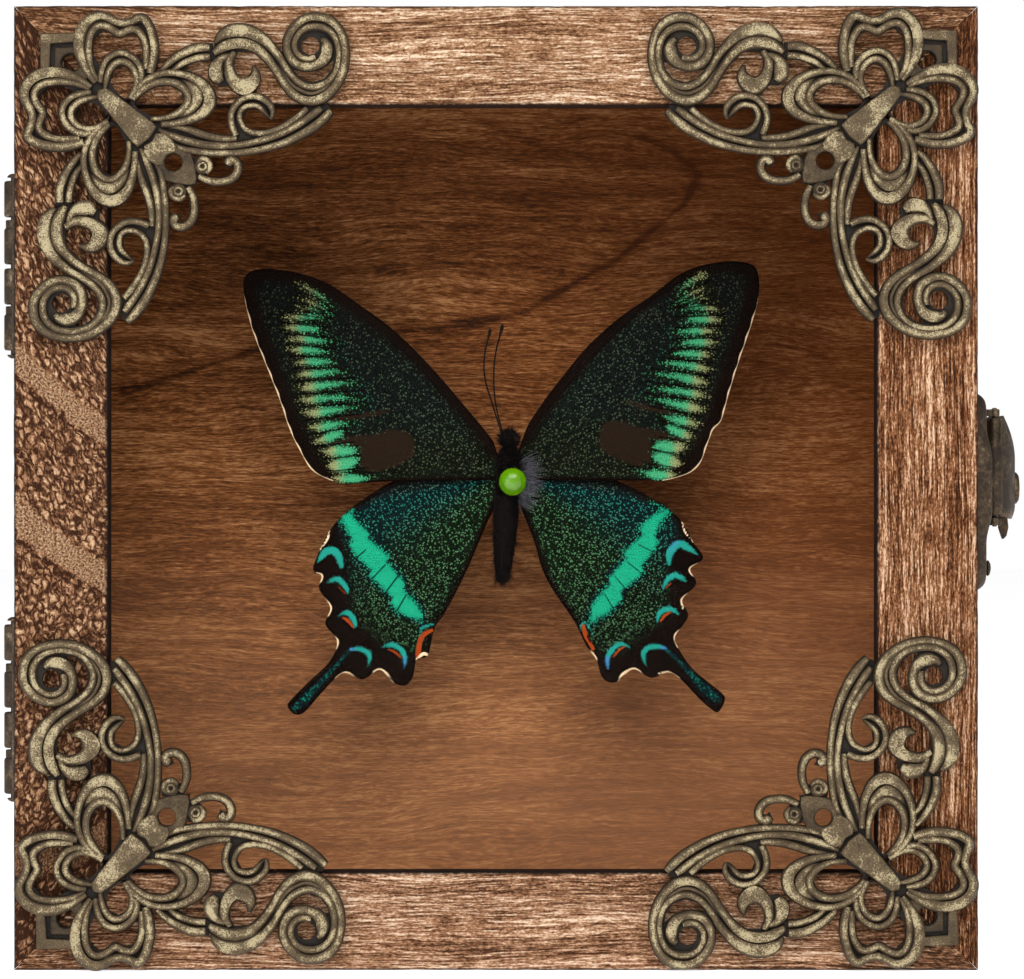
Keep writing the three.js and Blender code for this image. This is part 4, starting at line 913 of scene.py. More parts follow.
def makeFlap(shader):
    axisX, axisY = clasp["axis"]
    low, high = clasp["low"], clasp["high"]
    studY, studZ, studRadius = clasp["stud"]
    bm = bmesh.new()
    bmesh.ops.create_grid(bm, x_segments=40, y_segments=30, size=0.5)
    bow = clasp["bow"]
    for v in bm.verts:
        t, z = (v.co.x + 0.5) * (len(bow) - 1), low + (v.co.y + 0.5) * (high - low)
        i = min(int(t), len(bow) - 2)
        before, after = bow[max(i - 1, 0)], bow[min(i + 2, len(bow) - 1)]
        t -= i
        weights = (-t + 2 * t * t - t ** 3, 2 - 5 * t * t + 3 * t ** 3, t + 4 * t * t - 3 * t ** 3,
                   t ** 3 - t * t)
        marks = (before, bow[i], bow[i + 1], after)
        x, y = (sum(w * mark[k] for w, mark in zip(weights, marks)) / 2 for k in (0, 1))
        fall = max(0.0, (z - 79.5) / (high - 79.5)) ** 2 * 0.8
        fall += max(0.0, (72.2 - z) / (72.2 - low)) ** 2 * 0.2
        x -= x * fall * 0.75
        v.co = Vector((axisX + x, axisY + y, z))
    fork = studRadius + 1
    for place, direction in (((0, studY - studRadius - 1.2, 0), (0, 1, 0)),
                             ((0, 0, studZ - fork), (0, 0, 1)),
                             ((0, 0, studZ + fork), (0, 0, 1))):
        parts = bm.verts[:] + bm.edges[:] + bm.faces[:]
        bmesh.ops.bisect_plane(bm, geom=parts, plane_co=place, plane_no=direction, dist=1e-4)
    gap = [f for f in bm.faces if f.calc_center_median().y > studY - studRadius - 1.2
           and abs(f.calc_center_median().z - studZ) < fork]
    bmesh.ops.delete(bm, geom=gap, context="FACES")
    for v in bm.verts:  # corners of the free end are rounded
        off = max(0.0, v.co.y - axisY - 13.5) / 3.5
        edge = min(high - v.co.z, v.co.z - low)
        if off > 0 and edge < 2.2:
            v.co.y -= (2.2 - edge) ** 2 * 0.4 * off
    bmesh.ops.recalc_face_normals(bm, faces=bm.faces)
    if sum(f.normal.x for f in bm.faces) > 0:
        bmesh.ops.reverse_faces(bm, faces=bm.faces)
    for v in bm.verts:
        v.co.x -= 0.2
    bmesh.ops.solidify(bm, geom=bm.faces[:], thickness=clasp["flap"])
    bmesh.ops.recalc_face_normals(bm, faces=bm.faces)
    rims = [e for e in bm.edges if len(e.link_faces) == 2 and e.calc_face_angle() > 0.9]
    roundEdges(bm, rims, 0.25)
    r = clasp["barrel"]
    barrel = [(0, low), (r - 0.35, low), (r - 0.1, low + 0.3), (r + 0.2, low + 1.2), (r + 0.2, 80.4),
              (r, 81.6),
              (r - 0.3, 82.8), (r - 0.3, high), (0, high)]
    addLathe(bm, barrel, (axisX, axisY, 0), (0, 0, 1))
    grip = [(0, 0), (2.0, 0), (2.5, 0.35), (2.6, 0.7), (2.5, 1.1), (2.1, 1.4), (1.7, 1.35), (1.3, 1.5),
            (0, 1.6)]
    addLathe(bm, grip, (axisX + 3.35, axisY + clasp["grip"], studZ), (1, 0, 0))
    tail = bm.faces.new([bm.verts.new((axisX + 0.4 + x, axisY + 3.0, low + z)) for x, z in clasp["tail"]])
    raised = bmesh.ops.extrude_face_region(bm, geom=[tail])
    bmesh.ops.translate(bm, vec=(0, 2.4, 0), verts=newVerts(raised))
    bmesh.ops.recalc_face_normals(bm, faces=bm.faces)
    sharpEdges(finishPiece("bowed_clasp_flap", bm, [shader], "flap", ["clasp_flap"]), 40)


wingLook = {"cell": 0.24, "thickness": 0.12, "front": {"fore": 1.05, "hind": 1.95}, "relief": 0.05}

wingOutlines = {  # [x, z]
    "forewing_left": [(-0.2, 81.6), (-1.4, 83.7), (-4.6, 87.6), (-9, 92.8), (-13.2, 97.3),
        (-17.7, 101.4), (-22.6, 104.9), (-27, 107.9), (-31.8, 109.7), (-36.7, 110.4), (-39.4, 110.1),
        (-40.7, 109), (-40.9, 107.4), (-40.5, 104.6), (-39.3, 100.1), (-37, 94.3), (-35, 89.2),
        (-33.3, 84.2), (-31.2, 80), (-29.7, 77.8), (-26.6, 76.2), (-24.2, 75.7), (-17.4, 76.1),
        (-8, 76.3), (0.4, 76.8)],
    "forewing_right": [(4.4, 83.6), (7.3, 88.6), (11.1, 93.6), (14.9, 98.1), (19.8, 102.5),
        (25, 106.1), (29.2, 109.3), (32.6, 110.8), (36.9, 111.6), (40.3, 111.4), (42, 110.3),
        (42.4, 106.7), (41.4, 102.2), (39.1, 95.4), (37.4, 89.9), (36.3, 86), (34.8, 84.1),
        (33.2, 79.7), (32.1, 78.1), (30.3, 77.1), (26.9, 76.2), (24.2, 76.2), (14, 76.3), (3.6, 77)],
    "hindwing_left": [(0.4, 77), (-9, 77.3), (-16, 76.4), (-21.6, 73.2), (-25.3, 70.2), (-27.2, 67.8),
        (-28.6, 65), (-29.7, 61.8), (-28.3, 60.8), (-28.7, 58.7), (-26.9, 55.7), (-27.7, 53),
        (-25.8, 50.3), (-27, 47), (-30.8, 43.3), (-33.4, 40.6), (-33.8, 39.6), (-32.6, 38.4),
        (-31, 38.8), (-28.9, 41.2), (-26, 44.3), (-24.4, 45.1), (-21.6, 44.1), (-18.9, 45.6),
        (-16.8, 43.6), (-14.7, 43.1), (-13.5, 44.6), (-12.9, 47.3), (-11.1, 48), (-10, 52.4),
        (-8.2, 55.1), (-5, 61.3), (-1.7, 69), (0.2, 73.5)],
    "hindwing_right": [(3.6, 77.2), (13, 77.4), (19, 76.4), (25.3, 73.3), (27.6, 71.9), (30, 69.5),
        (31.8, 66.3), (33.4, 63.7), (31.3, 61.9), (32.3, 59.5), (30, 56.9), (31, 54.3), (28.9, 51.1),
        (29.3, 49.3), (31.6, 45.9), (34.4, 43.5), (36.6, 41.7), (36.9, 40.6), (36, 38.9), (35.2, 38.9),
        (33.1, 40.6), (29.5, 44.3), (27.6, 45.2), (25, 44.3), (22.1, 45.7), (19.7, 43.8), (18.3, 43.6),
        (17, 44.5), (16.1, 47.3), (14.5, 49.5), (12.4, 53.7), (9.1, 58.5), (7.3, 62.1), (6, 66.6),
        (3.6, 73)],
}

# Markings of the forewing, drawn on the left wing: (x, z, half width), the outer end first.
streaks = [
    [(-32.6, 108.3, .29), (-30.6, 107.3, .47), (-28.5, 106, .44), (-25.9, 103.9, .18)],
    [(-32.6, 105.8, .29), (-29.7, 105, .44), (-27.6, 103.9, .38), (-25.9, 102.1, .15)],
    [(-33.5, 104.2, .24), (-30.9, 104.1, .41), (-28.8, 103.4, .35), (-27, 102.6, .12)],
    [(-35, 102.6, .29), (-32.3, 102.6, .53), (-29.4, 102.6, .5), (-26.4, 101.8, .15)],
    [(-35.3, 100.9, .29), (-32.3, 100.9, .65), (-29.7, 100.7, .62), (-27.2, 100.2, .18)],
    [(-33.8, 99, .41), (-30.9, 99.1, .68), (-28.2, 98.8, .5), (-25.4, 98.3, .12)],
    [(-33.9, 97.4, .41), (-31.4, 97.3, .68), (-29.1, 97.2, .62), (-26.2, 96.7, .15)],
    [(-32.9, 95.3, .41), (-30.6, 95.4, .65), (-27.9, 95.4, .59), (-25, 95.4, .15)],
    [(-32.8, 93.3, .41), (-30.6, 93.4, .68), (-28.2, 93.6, .59), (-25.9, 93.8, .47), (-22.9, 93.6, .12)],
    [(-32.2, 91.1, .47), (-30, 91.3, .76), (-27.6, 91.7, .62), (-24.7, 91.9, .47), (-21.2, 92.1, .12)],
    [(-32.2, 89.1, .41), (-30, 89.3, .68), (-27.6, 89.5, .59), (-24.7, 89.6, .47), (-21.2, 89.5, .12)],
    [(-31.6, 87.1, .47), (-29.1, 87.2, .79), (-27, 87.5, .65), (-24.1, 87.9, .44), (-20.6, 88.4, .12)],
    [(-30.9, 84.7, .41), (-28.2, 84.9, .71), (-25.9, 85.3, .62), (-22.9, 85.6, .18)],
    [(-29.7, 82.4, .41), (-27.6, 83, .76), (-25.6, 83.7, .68), (-23.8, 84.2, .18)],
    [(-28.4, 80.9, .47), (-25.9, 80.9, .88), (-23.5, 81, .71), (-22, 80.8, .18)],
    [(-27.3, 78.5, .53), (-25.3, 78.7, 1.06), (-23.5, 79.2, .88), (-21.7, 79.9, .24)],
    [(-27, 76.8, .35), (-24.7, 76.5, .76), (-22.3, 76.5, .71), (-19.7, 76.8, .18)],
]
velvetPatches = [
    [(-22, 81.8), (-20, 83.6), (-17, 84.5), (-14.1, 84.2), (-13.2, 82.4), (-13.2, 80.1), (-15.9, 78.6),
     (-20, 77.4), (-22, 78.3), (-22.3, 80.4)],
    [(-28.2, 81.9), (-24.1, 83.3), (-20, 83.7), (-18.8, 83), (-21.7, 82), (-24.7, 81.6)],
    [(-27.6, 86), (-24.7, 86.8), (-21.7, 87.2), (-18.8, 87.6), (-16.5, 87.7), (-18.8, 86.8),
     (-21.7, 86.2), (-24.7, 85.9)],
]
foreVeins = [
    [(0, 80.5), (-12, 94.2), (-22, 103), (-31, 108.6)],
    [(0, 79.5), (-10, 86.5), (-18.5, 91), (-22.5, 96.5), (-24.5, 101.5)],
    [(0, 78.5), (-9, 81), (-15, 84.6), (-18.5, 91)],
    [(0, 77.8), (-10, 77.4), (-22, 77.6)],
]
rightFromLeft = {"from": (-0.42, 81.81), "to": (4.59, 84.07), "turn": ((-0.937, -0.008), (0.059, 1.051))}

# Markings of the hindwings: (x, z, full width).
hindMarks = {
    "left": {
        "base": (0.0, 77.0),
        "band": [[(-23.9, 70.2, 1.81), (-22.9, 67.9, 2.45), (-21, 64.9, 3.04), (-18.8, 62.1, 3.04),
                  (-16.5, 58.7, 2.71), (-14.4, 55.7, 2.45), (-12.3, 53.8, 1.29)],
                 [(-24.9, 69.5, 1.03), (-23.9, 70.6, 1.29), (-23, 71.4, .88)]],
        "lune": [[(-28.9, 63.1, .41), (-27.7, 64.6, .88), (-26.4, 64.9, .88), (-25.5, 63.9, .88),
                  (-25.1, 62.4, .62)],
                 [(-27.2, 59.7, .31), (-26.1, 60.3, .67), (-25.1, 59.9, .72), (-24.3, 58.8, .62),
                  (-24, 57.9, .36)],
                 [(-25.6, 54.3, .31), (-24.3, 54.9, .67), (-23.4, 54.2, .72), (-22.9, 53.2, .62),
                  (-23, 52.3, .36)],
                 [(-23.7, 48.9, .41), (-22.3, 49, .62), (-21, 48.5, .67), (-20.5, 47.6, .62),
                  (-20.8, 46.4, .31)],
                 [(-18.5, 49.2, .31), (-17.1, 49.7, .62), (-15.7, 49.1, .67), (-14.9, 47.9, .67),
                  (-14.9, 45.9, .31)],
                 [(-12.6, 50.8, .26), (-12.1, 52.3, .46), (-11.1, 52.8, .46), (-10, 53, .31)]],
        "orange": [[(-25.5, 59, .21), (-24.4, 57.9, .21)],
                   [(-24.9, 54.1, .26), (-24, 53.5, .46), (-23.2, 52.5, .31)],
                   [(-17.5, 48.9, .2), (-16.5, 48.5, .35), (-15.4, 47.5, .25)],
                   [(-12.7, 47.9, .77), (-12.5, 49.7, .72), (-11.9, 51.2, .67), (-10.4, 52, .46)]],
        "dark": [[(-11.4, 50.2, .62), (-10.9, 50.8, .62)]],
        "cream": [[(-27.1, 68.2, .3), (-27.3, 66.9, .4), (-28.6, 65, .3)],
                  [(-29.1, 61.3, .3), (-28.3, 60.8, .55), (-28.5, 59.6, .3)],
                  [(-27.9, 57.2, .3), (-26.9, 55.7, .6), (-27.3, 54.3, .3)],
                  [(-27.1, 51.6, .3), (-25.8, 50.3, .6), (-26, 49, .3)],
                  [(-26, 44.3, .3), (-24.4, 45.1, .55), (-22.8, 44.6, .3)],
                  [(-20.3, 45.1, .3), (-18.9, 45.6, .6), (-17.6, 44.8, .5), (-16.8, 43.6, .3)],
                  [(-12.9, 47.3, .45), (-11.9, 48.2, .55), (-11.1, 48, .45)]],
        "tail": [[(-23.7, 48.8, .62), (-26.1, 46.1, .62), (-28.6, 43.4, .88), (-30.9, 41, 1.44),
                  (-32.5, 39.5, 1.03)]],
        "vein": [[(-15.8, 61), (-18.1, 57.9)], [(-14.6, 57.8), (-16.1, 55.2)], [(-21.2, 65), (-22.9, 63.5)],
                 [(-18, 62.6), (-20.1, 60.4)], [(-11.7, 56), (-11.8, 53.9)]],
    },
    "right": {
        "base": (4.0, 77.0),
        "band": [[(26.8, 71, 1.29), (25.3, 69.4, 2.06), (24.6, 67.1, 2.58), (23.3, 64.8, 2.97),
                  (21.6, 62.1, 2.97),
                  (19.8, 59.7, 2.71), (18.2, 57.3, 2.58), (16.6, 55.1, 2.32), (15.3, 54.1, 1.29)],
                 [(25.2, 72.9, .36), (26.1, 72.1, .77), (27.1, 71.1, 1.29)]],
        "lune": [[(27.9, 62.7, .52), (28, 64.5, .88), (29.5, 66, .88), (31, 65.3, .77), (32.4, 64.3, .36)],
                 [(26.9, 58.6, .36), (27.5, 60, .67), (28.7, 60.9, .72), (30, 60.4, .62), (30.6, 59.9, .31)],
                 [(26, 53.3, .36), (26.3, 54.7, .67), (27.5, 55.4, .72), (28.7, 55.2, .62),
                  (29.4, 54.5, .31)],
                 [(24.2, 46.3, .31), (23.7, 48, .62), (24.4, 49.1, .67), (25.9, 49.4, .67),
                  (27.3, 49.1, .46)],
                 [(18, 45.8, .36), (18, 47.7, .67), (19, 49.2, .67), (20.2, 49.8, .62), (21.6, 49.2, .31)],
                 [(13.5, 51.8, .26), (13.7, 52.9, .41), (14.3, 53.2, .41), (15.1, 52.4, .36),
                  (15.6, 51.2, .26)]],
        "orange": [[(27.3, 58.8, .21), (28.2, 59.6, .21)],
                   [(26.5, 53.4, .26), (27.1, 54.3, .41), (28.2, 55, .26)],
                   [(18.8, 47.6, .21), (19.7, 48.7, .31), (20.7, 49.4, .21)],
                   [(14, 52.7, .52), (14.4, 51.2, .62), (15, 50.1, .52), (15.6, 49, .52)]],
        "dark": [[(14.7, 51.1, .41), (15.2, 50.2, .46)]],
        "cream": [[(30, 69.5, .3), (30.5, 67.9, .4), (31.8, 66.3, .3)],
                  [(32.6, 62.8, .3), (31.3, 61.9, .55), (31.7, 60.8, .3)],
                  [(31.1, 58, .3), (30, 56.9, .6), (30.2, 55.4, .3)],
                  [(30.2, 52.4, .3), (28.9, 51.1, .6), (29.3, 49.3, .3)],
                  [(29.5, 44.3, .3), (27.6, 45.2, .55), (26, 44.9, .3)],
                  [(23.4, 45.2, .3), (22.1, 45.7, .6), (20.4, 44.9, .5), (19.7, 43.8, .3)],
                  [(16.1, 47.3, .5), (15.3, 48.7, .45)]],
        "tail": [[(27.3, 49, .62), (29.5, 47, .62), (31.9, 44.4, .88), (34.1, 42.1, 1.44),
                  (35.7, 40.8, 1.13)]],
        "vein": [[(19.1, 60.8), (22, 57.3)], [(17.5, 57.8), (18.9, 55.5)], [(22.9, 65.9), (26.1, 64.3)],
                 [(21.2, 63), (24, 60.8)], [(14, 55.5), (14.8, 53.9)]],
    },
}


def smoothLine(points, closed=False, steps=6):  # a soft curve through the marks
    count = len(points)
    curve = []
    for i in range(count if closed else count - 1):
        a, b, c, d = (np.array(points[k % count] if closed else points[min(max(k, 0), count - 1)], float)
                      for k in (i - 1, i, i + 1, i + 2))
        for j in range(steps):
            t = j / steps
            bend = 2 * a - 5 * b + 4 * c - d + t * (3 * b - a - 3 * c + d)
            curve.append(tuple(b + 0.5 * t * (c - a + t * bend)))
    return curve if closed else curve + [tuple(points[-1])]


def insideOf(places, marks, widthScale=1.0):  # millimetres inside the nearest stroke, and how far along
    best, at = np.full(len(places), -1.0), np.zeros(len(places))
    for rough in marks:
        points = smoothLine(rough, steps=4)
        parts = len(points) - 1
        for i, (first, second) in enumerate(zip(points, points[1:])):
            a, along = np.array(first[:2]), np.array(second[:2]) - np.array(first[:2])
            t = np.clip(((places - a) @ along) / (along @ along), 0, 1)
            off = np.hypot(*(places - a - t[:, None] * along).T)
            value = (first[2] + (second[2] - first[2]) * t) * widthScale - off
            nearer = value > best
            best[nearer], at[nearer] = value[nearer], (i + t[nearer]) / parts
    return best, at


def insidePatch(places, corners):  # millimetres inside a closed outline, below 0 outside it
    x, z = places.T
    inside = np.zeros(len(places), bool)
    for (ax, az), (bx, bz) in zip(corners, corners[1:] + corners[:1]):
        crosses = (az > z) != (bz > z)
        inside ^= crosses & (x < (bx - ax) * (z - az) / (bz - az + 1e-12) + ax)
    off = distanceTo(corners + corners[:1], places)
    return np.where(inside, off, -off)


def smoothStep(low, high, value):
    t = np.clip((value - low) / (high - low), 0, 1)
    return t * t * (3 - 2 * t)


outerEdge = {"left": (12, 21), "right": (11, 21)}  # which marks of a forewing's outline


def forewingPattern(places, side, outline):
    first, last = outerEdge[side]
    rim = distanceTo(smoothLine(wingOutlines[f"forewing_{side}"][first:last]), places)
    edge = distanceTo(outline + outline[:1], places)
    heights = places[:, 1]
    if side == "right":  # back to where it would be on the left wing
        turn = np.linalg.inv(np.array(rightFromLeft["turn"]))
        places = (places - rightFromLeft["to"]) @ turn.T + rightFromLeft["from"]
    leftOutline = wingOutlines["forewing_left"]
    green, at = insideOf(places, streaks, 1.62)
    green -= 0.3 * smoothStep(0.3, 0.0, at) + 0.25 * smoothStep(0.65, 1.0, at)
    brown = np.max([insidePatch(places, patch) for patch in velvetPatches], axis=0)
    fromBase = np.hypot(places[:, 0], places[:, 1] - 79)
    leading = distanceTo(leftOutline[:12], places)
    outer = distanceTo(leftOutline[10:22], places)
    dust = 0.62 - 0.08 * smoothStep(8, 27, fromBase) - 0.12 * smoothStep(27, 38, fromBase)
    dust *= smoothStep(0.7, 3.0, leading) * smoothStep(1.0, 3.4, outer) * smoothStep(0.2, 0.9, edge)
    dust *= 1 - 0.85 * smoothStep(-0.2, 0.6, brown)
    gaps = []
    for first, second in zip(streaks, streaks[1:]):
        ends = [((a[0] + b[0]) / 2, (a[1] + b[1]) / 2) for a,
                b in ((first[0], second[0]), (first[-1], second[-1]))]
        gaps.append(ends)
    between = np.min([distanceTo(line, places) for line in gaps], axis=0)
    veins = np.minimum(between, np.min([distanceTo(line, places) for line in foreVeins], axis=0))
    waves = 0.5 + 0.5 * np.sin(heights * 2.1)
    cream = (0.16 * waves + 0.1) * smoothStep(108, 102, heights) - rim
    top = smoothStep(98, 107, places[:, 1])
    blue = (0.12 + 0.38 * smoothStep(79, 88, places[:, 1])) * smoothStep(0.1, -0.5, green)
    ochre = smoothStep(0.6, 0.05, at) * 0.95 + top * 0.45
    return {"green": green, "ochre": ochre, "dust": dust, "blue": blue,
            "brown": brown, "lune": np.full(len(places), -1.0), "orange": np.full(len(places), -1.0),
            "cream": cream, "dark": np.maximum(0.08 - veins, 0.13 - between),
            "vein": smoothStep(0.35, 0.0, veins)}


def hindwingPattern(places, side, outline):
    marks = hindMarks[side]
    baseX, baseZ = marks["base"]
    away = places - (baseX, baseZ)
    fromBase = np.hypot(*away.T)
    angle = np.degrees(np.arctan2(-away[:, 1], np.abs(away[:, 0])))
    edge = distanceTo(outline + outline[:1], places)
    stepped = places + away / fromBase[:, None] * (0.9 * (angle / 12.5 % 1 - 0.5))[:, None]
    band, _ = insideOf(stepped, marks["band"], 0.78)
    lune, _ = insideOf(places, marks["lune"], 0.95)
    orange, _ = insideOf(places, marks["orange"], 0.6)
    cream, _ = insideOf(places, marks["cream"], 0.5)
    dark, _ = insideOf(places, marks["dark"], 0.5)
    tail, _ = insideOf(places, marks["tail"], 0.55)
    veins = np.min([distanceTo(line, places) for line in marks["vein"]], axis=0)
    rays = []
    for degrees in (8, 22, 36, 50, 63, 75):
        turn = math.radians(degrees)
        reach = [4, 30]
        sign = -1 if side == "left" else 1
        rays.append([(baseX + sign * r * math.cos(turn), baseZ - r * math.sin(turn)) for r in reach])
    spokes = np.min([distanceTo(line, places) for line in rays], axis=0)
    limit = 27.6 + 5.4 * smoothStep(25, 48, angle) - 3.0 * smoothStep(60, 74, angle)
    dust = 1.0 - 0.12 * smoothStep(23.5, 26.5, fromBase) - 0.88 * smoothStep(-2.4, 1.0, fromBase - limit)
    dust *= smoothStep(0.2, 1.6, edge) * (1 - 0.45 * smoothStep(14, 4, angle))
    ochre = smoothStep(14, 7, angle)
    dust = np.maximum(dust, 1.0 * smoothStep(-0.1, 0.2, tail))
    blue = smoothStep(50, 14, angle) * 0.85
    blue = np.where(fromBase > limit, 0.45 + 0.5 * smoothStep(56, 70, angle), blue)
    blue = np.where(tail > -0.4, 1.0, blue)
    blue = np.maximum(blue, 0.8 * smoothStep(-0.4, 0.1, band))
    band = np.maximum(band, tail - 0.45)
    return {"green": band, "ochre": ochre, "dust": dust, "blue": blue,
            "brown": np.full(len(places), -1.0), "lune": lune, "orange": orange, "cream": cream,
            "dark": np.maximum(dark, 0.13 - veins), "vein": smoothStep(0.3, 0.0, np.minimum(veins, spokes))}


def wingScales():
    shader = Shader("wingScales")
    place = shader.objectPlace()
    flat = shader.scaled(place, 1, 0, 1)
    field = {name: shader.attribute(name) for name in
             ("green", "ochre", "dust", "blue", "brown", "lune", "orange", "cream", "dark", "vein")}
    fuzz = shader.noise(flat, 3.2, 3.0, 0.7) - 0.5
    fine = ((shader.noise(flat, 6.0, 2.0, 0.7) - 0.5) * 2.6 + 0.5).inRange()
    broad = shader.noise(flat, 0.5, 2.0)
    brush = shader.grain(place, (0.4, 0, 4.6), 3.0, 0.65) - 0.5
    spots = shader.cells(flat, 2.7)
    lot = shader.cells(flat, 2.7, output="Color")
    dot = 1 - spots.step(0.2, 0.42)
    chance = field["dust"] * 1.08 + (broad - 0.5) * 0.25
    dust = dot * (chance - lot + 0.03).step(-0.08, 0.08) * (field["dust"] * 1.1 - 0.05).inRange()
    colour = shader.mix(fine, rgb(6, 3, 3), rgb(24, 16, 12))
    haze = field["dust"] * 0.45
    colour = shader.mix(haze, colour, shader.mix(field["blue"], rgb(8, 30, 16), rgb(0, 34, 40)))
    velvet = (field["brown"] + fuzz * 0.8).step(-0.2, 0.3)
    colour = shader.mix(velvet, colour, shader.mix(fine, rgb(22, 15, 11), rgb(40, 29, 21)))
    dustGreen = shader.mix(fine, rgb(24, 78, 52), rgb(104, 142, 98))
    dustBlue = shader.mix(fine, rgb(2, 74, 76), rgb(34, 130, 114))
    dustColour = shader.mix(field["blue"], dustGreen, dustBlue)
    dustColour = shader.mix(field["ochre"] * 0.6, dustColour, rgb(98, 92, 66))
    colour = shader.mix(dust, colour, dustColour)
    shineBody = shader.mix(field["blue"], shader.mix(fine, rgb(16, 96, 60), rgb(84, 182, 130)),
                           shader.mix(fine, rgb(0, 88, 68), rgb(12, 186, 142)))
    ochre = (field["ochre"] + fuzz * 1.6).step(0.3, 0.8)
    shineColour = shader.mix(ochre, shineBody, shader.mix(fine, rgb(86, 104, 60), rgb(164, 156, 110)))
    shineColour = shader.mix((brush * 3.0 + 0.1).inRange() * 0.55, shineColour, rgb(8, 58, 40))
    shine = (field["green"] + fuzz * 1.7 + brush * 1.5 - (1 - dot) * 0.7).step(-0.42, 0.4)
    colour = shader.mix(shine, colour, shineColour)
    lune = (field["lune"] + fuzz * 0.7 - (1 - dot) * 0.22).step(-0.12, 0.26)
    cyan = shader.mix(field["blue"].step(0.5, 0.9), rgb(8, 122, 102), rgb(60, 104, 164))
    colour = shader.mix(lune, colour, shader.mix(fine * 0.4, cyan, rgb(70, 168, 164)))
    orange = (field["orange"] + fuzz * 0.3).step(-0.06, 0.12)
    colour = shader.mix(orange, colour, shader.mix(fine, rgb(98, 28, 8), rgb(172, 74, 30)))
    cream = (field["cream"] + fuzz * 0.12).step(-0.04, 0.08)
    colour = shader.mix(cream, colour, shader.mix(fine, rgb(206, 166, 122), rgb(244, 220, 184)))
    dark = (field["dark"] + fuzz * 0.14).step(-0.06, 0.05)
    colour = shader.mix(dark * 0.85, colour, rgb(8, 4, 4))
    rough = 0.62 - shine * 0.14 + fuzz * 0.1
    height = field["vein"] * 0.5 + dust * 0.2 + fine * 0.3
    shader.surface(colour, rough, normal=shader.bump(height, 0.04), Specular_IOR_Level=0.0)
    return shader


def makeWing(name, shader):
    kind, side = name.split("wing_")
    outline = smoothLine(wingOutlines[name], closed=True)
    corners = np.array(outline)
    low, high = corners.min(axis=0) - 0.3, corners.max(axis=0) + 0.3
    cell = wingLook["cell"]
    wide, tall = high - low
    bm = bmesh.new()
    front = wingLook["front"][kind]
    middle = ((low[0] + high[0]) / 2, front, (low[1] + high[1]) / 2)
    upright = Matrix.Translation(middle) @ Matrix.Rotation(math.pi / 2, 4, "X")
    place = upright @ Matrix.Diagonal((wide / 2, tall / 2, 1, 1))
    bmesh.ops.create_grid(bm, x_segments=round(wide / cell), y_segments=round(tall / cell), size=1,
                          matrix=place)
    verts = list(bm.verts)
    places = np.array([(v.co.x, v.co.z) for v in verts])
    inside = insidePatch(places, outline)
    bmesh.ops.delete(bm, geom=[v for v, value in zip(verts, inside) if value < -0.02], context="VERTS")
    for v in bm.verts:
        if v.is_boundary:
            v.co.x, v.co.z = nearestOn(outline, v.co.x, v.co.z, cell * 1.5)
    bmesh.ops.smooth_vert(bm, verts=[v for v in bm.verts if not v.is_boundary], factor=0.3,
                          use_axis_x=True, use_axis_z=True)
    if sum(f.normal.y for f in bm.faces) < 0:
        bmesh.ops.reverse_faces(bm, faces=bm.faces)
    bmesh.ops.solidify(bm, geom=bm.faces[:], thickness=wingLook["thickness"])
    bmesh.ops.recalc_face_normals(bm, faces=bm.faces)
    piece = finishPiece(f"scaled_{name}", bm, [shader], "box", [name])
    flat = vertexPlaces(piece)
    pattern = forewingPattern if kind == "fore" else hindwingPattern
    fields = pattern(flat[:, (0, 2)].astype(float), side, outline)
    for key, values in fields.items():
        setAttribute(piece, key, values)
    wave = np.array([noise.noise(Vector((x * 0.07, 3.0, z * 0.07))) for x, _, z in flat])
    flat[:, 1] += wave * 0.12 - fields["vein"] * wingLook["relief"]
    piece.data.vertices.foreach_set("co", (flat * mm).astype(np.float32).ravel())


def nearestOn(outline, x, z, limit):
    best, spot = limit, (x, z)
    for (ax, az), (bx, bz) in zip(outline, outline[1:] + outline[:1]):
        dx, dz = bx - ax, bz - az
        t = min(1.0, max(0.0, ((x - ax) * dx + (z - az) * dz) / (dx * dx + dz * dz)))
        px, pz = ax + t * dx, az + t * dz
        off = math.hypot(x - px, z - pz)
        if off < best:
            best, spot = off, (px, pz)
    return spot


def tubeMesh(strokes, sides=2, steps=4, straight=False):  # strokes of (x, y, z, radius)
    curve = bpy.data.curves.new("strokes", "CURVE")
    curve.dimensions = "3D"
    curve.bevel_depth = 1.0
    curve.bevel_resolution = sides
    curve.resolution_u = steps
    curve.use_fill_caps = True
    for points in strokes:
        spline = curve.splines.new("POLY" if straight else "BEZIER")
        knots = spline.points if straight else spline.bezier_points
        knots.add(len(points) - 1)
        for knot, (x, y, z, radius) in zip(knots, points):
            if straight:
                knot.co = (x, y, z, 1)
            else:
                knot.co = (x, y, z)
                knot.handle_left_type = knot.handle_right_type = "AUTO"
            knot.radius = radius
    holder = bpy.data.objects.new("strokes", curve)
    bpy.context.scene.collection.objects.link(holder)
    bpy.context.view_layer.update()
    mesh = bpy.data.meshes.new_from_object(holder.evaluated_get(bpy.context.evaluated_depsgraph_get()))
    bpy.data.objects.remove(holder)
    return mesh


bodyShape = {
    "thorax": ((2.1, 1.7, 77.4), (2.1, 2.2, 4.9)), "head": ((2.0, 1.4, 82.9), (1.6, 1.4, 1.6)),
    "abdomen": ((0.9, 2.0, 59.5), 3.0, 16.5,
                [(0, 0), (0.9, 0.4), (1.35, 2.5), (1.8, 7), (2.05, 11), (1.9, 14.5), (0, 16.5)]),
    "eyes": [(0.95, 0.6, 82.6), (3.0, 0.6, 82.8)], "eyeRadius": 0.62, "rings": 45,
}
hairs = {"thorax": 1500, "head": 420, "girdles": 9, "girdle": 150, "tuft": 300}  # how many


